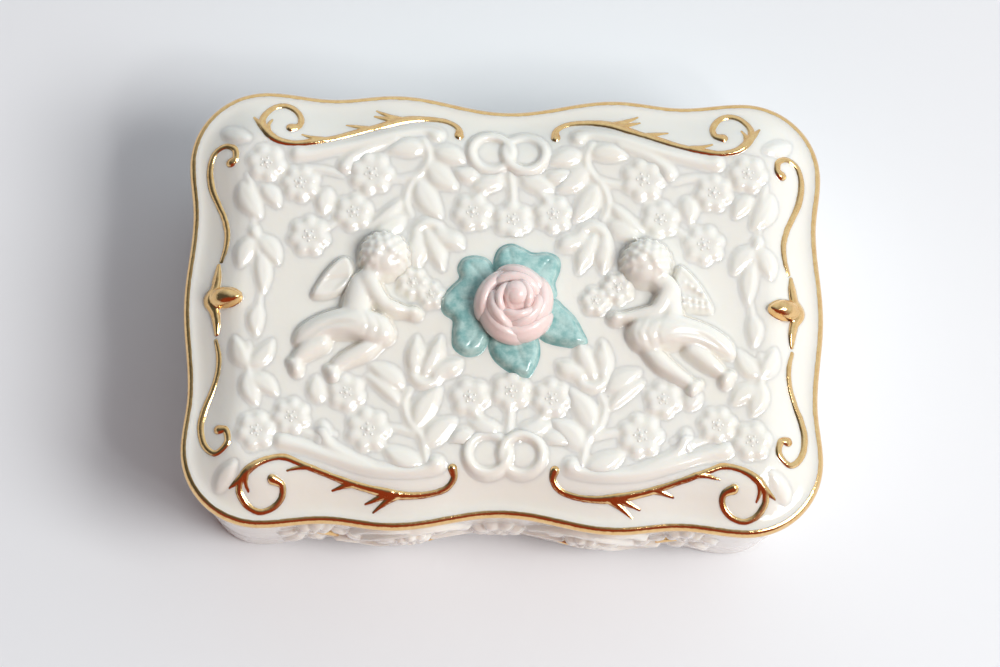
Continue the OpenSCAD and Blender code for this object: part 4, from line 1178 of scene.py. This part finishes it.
# %% [markdown]
# ## The body
# The body is cast in one piece with its scalloped skirt and corner feet. Its wall follows the lid's
# outline a little further in. The skirt dips under the lobes, and rises to low arches between them and
# the feet. The thin pads that it stands on are left unglazed, so that it doesn't stick in the kiln.

# %% Body
FLOOR, RIM_Z = 8.5, body_high[2]
SKIRT, FLARE, ROLL = 8, 0.5, 0.7   # where the skirt begins, how far it turns in, and its edge's roll
WALL = flow([[2.0, RIM_Z - 1.0], [2.0, 36], [2.2, 30], [2.7, 22], [3.3, 14], [4.2, 8], [4.7, 4]], 8)


def wall_inset(z):
    return np.interp(z, WALL[::-1, 1], WALL[::-1, 0])


def hem(points):
    """Height of the skirt's bottom edge: feet at the corners, arches, and drops under the lobes."""
    a, b = np.abs(points[:, 0]), np.abs(points[:, 1])

    def ease(p, q, t):
        return p + (q - p) * (1 - np.cos(np.pi * np.clip(t, 0, 1))) / 2

    long = np.where(a > 35, ease(3.8, 0.6, (a - 35) / 10),
                    np.where(a > LOBE, ease(1.4, 3.8, (a - LOBE) / 12.8), ease(2.8, 1.4, a / LOBE)))
    short = np.where(b > 18, ease(3.8, 0.6, (b - 18) / 9), ease(2.0, 3.8, b / 18))
    return np.where(b > 27, long, short)


edge_z = hem(RING)
inside = flow([[11.2, FLOOR], [9.8, FLOOR + 0.1], [8.5, FLOOR + 0.7], [7.3, FLOOR + 2.8],
               [6.4, FLOOR + 6.5], [5.8, FLOOR + 11], [5.4, FLOOR + 16], [5.2, FLOOR + 21],
               [5.2, RIM_Z - 0.9]], 5)
lip = [*arc((4.5, RIM_Z - 0.7), 0.7, 0, 90, 7), (3.7, RIM_Z), *arc((2.8, RIM_Z - 0.8), 0.8, 90, 180, 8)]
body_rings = [ring(d, z) for d, z in [*inside, *lip]]
body_rings += [ring(wall_inset(z), z) for z in np.linspace(RIM_Z - 1.5, SKIRT, 30)]
body_rings += [ring(wall_inset(SKIRT) + FLARE * t, SKIRT + (edge_z + ROLL - SKIRT) * t)
               for t in np.linspace(0, 1, 10)[1:]]
body_rings += [ring(wall_inset(SKIRT) + FLARE + d, edge_z + ROLL - up)
               for d, up in [(0.05, 0.3), (0.2, 0.55), (0.45, 0.68), (0.8, ROLL), (1.9, ROLL), (2.3, 0.6),
                             (2.6, 0.3), (2.8, -0.2)]]
body_rings += [ring(d, z) for d, z in [(7.9, 4.9), (8.3, 5.25), (9.0, 5.45), (11, 5.5)]]
body = loft("box_body_glazed", body_rings)
settle(body, "base", BOX_GLAZE, ["box_body"])

# %% Foot pads
PAD = np.array([(5.1, 1.2), (5.12, 0.2), (5.2, 0.06), (5.35, 0), (6.75, 0), (6.9, 0.06), (6.98, 0.2),
                (7.0, 1.2)])
turns = np.radians([8, 8, *np.linspace(8.5, 81.5, 30), 82, 82])
lines = np.repeat(PAD[None], len(turns), 0)
lines[[0, -1]] = PAD.mean(0)   # the end rows shrink to a point, which closes the pad
pads, pad_faces = [], []
for sx, sy in CORNERS.values():
    faces = grid_faces(len(turns), len(PAD)) + len(pads) * len(PAD)
    pad_faces.append(faces[:, ::-1] if sx * sy > 0 else faces)
    for line, t in zip(lines, turns):
        r = CORNER - line[:, 0]
        pads.append(np.column_stack([sx * (CORNER_X + r * math.cos(t)), sy * (CORNER_Y + r * math.sin(t)),
                                     line[:, 1]]))
feet = new_piece("foot_pads_bare", np.vstack(pads), np.vstack(pad_faces))
settle(feet, "base", BISQUE)
print("body:", len(body.data.polygons), "faces")

# %% [markdown]
# ## Relief on the walls
# The walls carry the same kind of flowers and scrolls as the lid, a little coarser. They're laid out
# flat, as distance along the wall and height, and then wrapped round the body.

# %% Wall relief
BEGIN = {"right": 0.0, "back": 0.25, "left": 0.5, "front": 0.75}


def on_wall(side):
    """Wraps a flat layout round the body's outside, with its middle in the middle of that side."""
    def skin(u, v):
        at = (BEGIN[side] + u / RIM_LENGTH) % 1 * len(RIM)
        first = at.astype(int) % len(RIM)
        part = (at - np.floor(at))[..., None]
        nxt = (first + 1) % len(RIM)
        place = RIM[first] * (1 - part) + RIM[nxt] * part
        out = RIM_OUT[first] * (1 - part) + RIM_OUT[nxt] * part
        place = place - out * wall_inset(v)[..., None]
        return (np.concatenate([place, v[..., None]], -1), np.concatenate([out, 0 * v[..., None]], -1))
    return skin


LONG_WALL = {
    "lines": [[[6, 21.5, 0.9], [9.5, 26, 1.1], [16, 28, 1.2], [22, 25, 1.2], [26, 20, 1.1],
        [29, 16, 0.9], [32.6, 14.6, 1.3]], [[17, 28, 0.8], [22, 29.5, 0.9], [27, 28, 0.9],
        [29.4, 25, 1.2]], [[4.6, 13.2, 0.6], [8, 14.6, 0.8], [12.6, 14, 0.7]], [[20.8, 14.4, 0.8],
        [24, 11.2, 1.0], [28.6, 10.4, 0.9], [31.4, 12, 1.1]]],
    "leaves": [((20, 19), (25.4, 15.2), 1.7, 0.4), ((12.6, 20.4), (9.4, 24), 1.5, 0.3), ((30.6, 21),
        (29.6, 15.6), 1.6, -0.4), ((33.6, 24.2), (31, 20.6), 1.4, 0.3), ((40.6, 24),
        (44, 19.6), 1.7, 0.4), ((39.6, 16), (43.4, 10.4), 1.9, -0.4), ((37.4, 15.4),
        (35.4, 9.6), 1.6, 0.3)],
    "blossoms": [(17, 18.2, 4.0, 7), (37.2, 26.4, 3.7, 6)],
    "middle": (0, 18, 5.2, 8)}
SHORT_WALL = {
    "lines": [[[5, 21.5, 0.9], [8.5, 26, 1.1], [13.5, 27, 1.2], [17, 22.5, 1.1], [18.8, 17.6, 0.9],
        [22, 15.4, 1.3]], [[4.6, 13.2, 0.6], [7, 14.2, 0.8], [9.6, 13.6, 0.7]]],
    "leaves": [((14.6, 14.6), (19, 10.6), 1.7, 0.4), ((20, 26.4), (24, 27.4), 1.4, 0.3), ((26.6, 15.6),
        (28, 9.8), 1.7, -0.3)],
    "blossoms": [(12, 18.2, 3.7, 6)],
    "middle": (0, 17.6, 4.8, 8)}

# %% Model the walls
for side in BEGIN:
    plan = LONG_WALL if side in ("front", "back") else SHORT_WALL
    reach = 46 if plan is LONG_WALL else 30
    relief = Relief((-reach, 6), (reach, 33), 0.2, melt=0.14, body="base", skin=on_wall(side))
    for s in (-1, 1):
        for line in plan["lines"]:
            relief.line([[s * a, z, r] for a, z, r in line], 1.1)
        for a, b, wide, bend in plan["leaves"]:
            relief.leaf((s * a[0], a[1]), (s * b[0], b[1]), wide, 1.1, s * bend)
        for k, (a, z, r, petals) in enumerate(plan["blossoms"]):
            relief.blossom(s * a, z, r, petals, turn=20 * k, top=1.5)
    relief.blossom(*plan["middle"], turn=22.5, top=1.6)
    fire(relief, f"wall_relief_{side}", 0.22)
print("walls done,", len(EYES), "blossoms")

# %% [markdown]
# ## Two small geometry node tools
# A brush stroke of gold is the same thing everywhere: a round roll that follows a line and gets thinner
# towards its ends. The eyes of the blossoms are all rings of small beads. Each is a node tree with named
# inputs, used again and again and then turned into a plain mesh.

# %% Geometry nodes
def node_tool(name, inputs):
    """A geometry node tree with named inputs, and its input node."""
    group = bpy.data.node_groups.new(name, "GeometryNodeTree")
    for label, kind, value in inputs:
        socket = group.interface.new_socket(label, in_out="INPUT", socket_type=kind)
        if value is not None:
            socket.default_value = value
    group.interface.new_socket("Geometry", in_out="OUTPUT", socket_type="NodeSocketGeometry")
    t = Tree(group)
    source = group.nodes.new("NodeGroupInput")
    return group, t, {label: Wire(group, source.outputs[label]) for label, _, _ in inputs}


def finish_tool(t, geometry, material):
    smooth = t.node("GeometryNodeSetShadeSmooth", Geometry=geometry)
    real = t.node("GeometryNodeRealizeInstances", Geometry=smooth)
    painted = t.node("GeometryNodeSetMaterial", Geometry=real, Material=material)
    t.node("NodeGroupOutput", Geometry=painted)


STROKE, t, socket = node_tool("Brush stroke", [
    ("Lines", "NodeSocketGeometry", None), ("Thickness", "NodeSocketFloat", 1.0),
    ("Sides", "NodeSocketInt", 10), ("Glaze", "NodeSocketMaterial", None)])
curve = t.node("GeometryNodeMeshToCurve", Mesh=socket["Lines"])
NUMBER = {"data_type": "FLOAT"}
radius = t.node("GeometryNodeInputNamedAttribute", NUMBER, Name="thick") * socket["Thickness"]
disc = t.node("GeometryNodeCurvePrimitiveCircle", Resolution=socket["Sides"], Radius=1.0)
tube = t.node("GeometryNodeCurveToMesh", Curve=curve, Profile_Curve=disc, Scale=radius, Fill_Caps=True)
tube = t.node("GeometryNodeStoreNamedAttribute", NUMBER, Geometry=tube, Name="gilt", Value=1.0)
finish_tool(t, tube, socket["Glaze"])

BEADS, t, socket = node_tool("Beads", [
    ("Points", "NodeSocketGeometry", None), ("Roundness", "NodeSocketInt", 2),
    ("Glaze", "NodeSocketMaterial", None)])
bead = t.node("GeometryNodeMeshIcoSphere", Radius=1.0, Subdivisions=socket["Roundness"])
bead_size = t.node("GeometryNodeInputNamedAttribute", NUMBER, Name="thick")
placed = t.node("GeometryNodeInstanceOnPoints", Points=socket["Points"], Instance=bead, Scale=bead_size)
finish_tool(t, placed, socket["Glaze"])


def made_with(group, name, points, thick, edges=(), **inputs):
    """Runs a tool on points in millimetres and keeps the result as a plain mesh."""
    mesh = bpy.data.meshes.new(name)
    mesh.from_pydata((np.asarray(points) * MM).tolist(), list(edges), [])
    radii = mesh.attributes.new("thick", "FLOAT", "POINT")
    radii.data.foreach_set("value", np.asarray(thick, float) * MM)
    piece = bpy.data.objects.new(name, mesh)
    bpy.context.scene.collection.objects.link(piece)
    modifier = piece.modifiers.new("tool", "NODES")
    modifier.node_group = group
    for item in group.interface.items_tree:
        if item.in_out == "INPUT" and item.name in inputs:
            modifier[item.identifier] = inputs[item.name]
    bpy.context.view_layer.update()
    result = bpy.data.meshes.new_from_object(piece.evaluated_get(bpy.context.evaluated_depsgraph_get()))
    piece.modifiers.clear()
    piece.data = result
    result.polygons.foreach_set("material_index", np.zeros(len(result.polygons), int))
    result.materials.clear()
    return piece

# %% [markdown]
# ## Gold strokes on the walls
# Each wall has an upper pair and a lower pair of short gold strokes on its scrolls.

# %% Wall gilding
STROKES = {
    "long": [[[38, 20.5, 0.2], [36.4, 20, 0.55], [34.4, 18.2, 0.6], [33, 15.8, 0.45], [32.5, 13.5, 0.2]],
        [[10.8, 10, 0.2], [13, 11, 0.5], [15.4, 11, 0.6], [17.8, 10, 0.45], [20, 8.5, 0.2]]],
    "short": [[[26, 23, 0.2], [24.6, 22.4, 0.55], [23, 20.4, 0.6], [22.2, 17.8, 0.45], [22, 15, 0.2]],
        [[8, 10, 0.2], [9.6, 10.8, 0.5], [11.4, 11, 0.6], [13.2, 10.2, 0.45], [15, 8.5, 0.2]]]}
for side in BEGIN:
    points, thick, edges = [], [], []
    for s in (-1, 1):
        for stroke in STROKES["long" if side in ("front", "back") else "short"]:
            p = flow(stroke, 8)
            place, out = on_wall(side)(s * p[:, 0], p[:, 1])
            begin = len(points)
            points += list(place + out * 0.1)
            thick += list(np.maximum(p[:, 2] * 1.15, 0.08))
            edges += [(k, k + 1) for k in range(begin, len(points) - 1)]
    made = made_with(STROKE, f"wall_gilding_{side}_painted", points, thick, edges,
                     Thickness=1.0, Sides=12, Glaze=GILDED)
    settle(made, "base", GILDED, [f"wall_gilding_{side}"])

# %% [markdown]
# ## Beads in the blossoms
# Every blossom has a ring of seed beads about its eye, pressed in with the end of a stick.

# %% Beads
BEAD_RING, MIDDLE_BEAD, SIDE_BEAD, SUNK = 0.27, 0.15, 0.12, 0.8   # as shares of the blossom's radius
groups = {"lid": ([], []), "base": ([], [])}
for relief, x, y, r, turn in EYES:
    where, sizes = groups[relief.body]
    spots = [(0.0, 0.0, MIDDLE_BEAD)]
    for a in np.radians(turn + 36 + 72 * np.arange(5)):
        spots.append((BEAD_RING * r * math.cos(a), BEAD_RING * r * math.sin(a), SIDE_BEAD))
    for dx, dy, k in spots:
        u, v = x + dx, y + dy
        base, up = relief.on_skin(np.array([u]), np.array([v]))
        where.append((base + up * (relief.height_at(u, v) - SUNK * k * r))[0])
        sizes.append(k * r)
for body_name, (where, sizes) in groups.items():
    made = made_with(BEADS, f"seed_beads_{body_name}", where, sizes, Roundness=3, Glaze=SEED_GLAZE)
    settle(made, body_name, SEED_GLAZE)
    print(body_name, len(where), "beads")

# %% [markdown]
# ## Table, light and camera
# The box stands on a plain pale table. Glaze and gold look like what they reflect, so the room matters as
# much as the lamps. It is bright behind and to the right, dark to the left, and a warm red-brown low in
# front, which gives the gold nearest the viewer its deep colour. One large soft lamp from the front right
# draws the relief, and a small weak one adds sharp highlights to the gold. The camera has a long lens and
# looks steeply down at the lid.

# %% Table
TABLE_HALF = 1.5   # metres
paper, t, place = start("pale paper")
tone = t.mix(t.noise(place, 3.0).ramp(0.3, 0.7), (0.80, 0.82, 0.85), (0.82, 0.84, 0.87))
finish_material(t, t.node("ShaderNodeBsdfPrincipled", Base_Color=tone, Roughness=0.8))
mesh = bpy.data.meshes.new("table")
corners = [(x * TABLE_HALF, y * TABLE_HALF, 0) for x, y in ((-1, -1), (1, -1), (1, 1), (-1, 1))]
mesh.from_pydata(corners, [], [(0, 1, 2, 3)])
mesh.materials.append(paper)
floor = bpy.data.objects.new("table", mesh)
bpy.context.scene.collection.objects.link(floor)
floor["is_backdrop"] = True

# %% Room
room = bpy.data.worlds.new("room")
room.use_nodes = True
bpy.context.scene.world = room
t = Tree(room.node_tree)
split = t.node("ShaderNodeSeparateXYZ", Vector=t.node("ShaderNodeTexCoord")).socket.node
east, north = (Wire(room.node_tree, split.outputs[k]) for k in range(2))
bright = (north * 0.7 + east * 0.6).ramp(-0.34, 0.50)
shade = t.mix((north * -1.0).ramp(0.34, 0.66), (0.085, 0.09, 0.09), (0.27, 0.055, 0.026))
tone = t.mix(bright, shade, (0.745, 0.81, 0.85))
t.node("ShaderNodeOutputWorld", Surface=t.node("ShaderNodeBackground", Color=tone, Strength=1.0))


# %% Lamps
def lamp(name, place, power, wide, tall, tint):
    """A soft rectangular lamp that looks at the middle of the lid; metres and watts."""
    data = bpy.data.lights.new(name, "AREA")
    data.shape, data.size, data.size_y = "RECTANGLE", wide, tall
    data.energy, data.color = power, tint
    made = bpy.data.objects.new(name, data)
    made.location = place
    made.rotation_euler = (Vector((0, 0, 0.04)) - Vector(place)).to_track_quat("-Z", "Y").to_euler()
    bpy.context.scene.collection.objects.link(made)


lamp("key", (0.60, -0.26, 0.94), 8.7, 0.42, 0.52, (1.0, 0.985, 0.96))
lamp("spark", (0.34, -0.42, 0.86), 0.8, 0.07, 0.10, (1.0, 0.99, 0.97))
bpy.context.scene.view_settings.view_transform = "Standard"

# %% Camera
LENS, SENSOR, DISTANCE = 135, 36, 0.747
AIM = np.array([-0.00085, -0.00425, (SEAT + 1.1) * MM])
side_turn, tilt, roll = np.radians([-8.4, 74.8, 9.4])
back = np.array([math.sin(side_turn) * math.cos(tilt), -math.cos(side_turn) * math.cos(tilt),
                 math.sin(tilt)])
right = np.cross(-back, [0, 0, 1.0])
right /= np.linalg.norm(right)
up = np.cross(right, -back)
right, up = (right * math.cos(roll) + up * math.sin(roll), -right * math.sin(roll) + up * math.cos(roll))
place = AIM + back * DISTANCE
camera_data = bpy.data.cameras.new("camera")
camera_data.lens, camera_data.sensor_width = LENS, SENSOR
camera = bpy.data.objects.new("camera", camera_data)
camera.matrix_world = Matrix([[right[k], up[k], back[k], place[k]] for k in range(3)] + [[0, 0, 0, 1]])
bpy.context.scene.collection.objects.link(camera)
bpy.context.scene.camera = camera

# %% Sizes
low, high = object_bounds()
print("visual size in mm:", [round(v, 1) for v in (high - low) / MM])
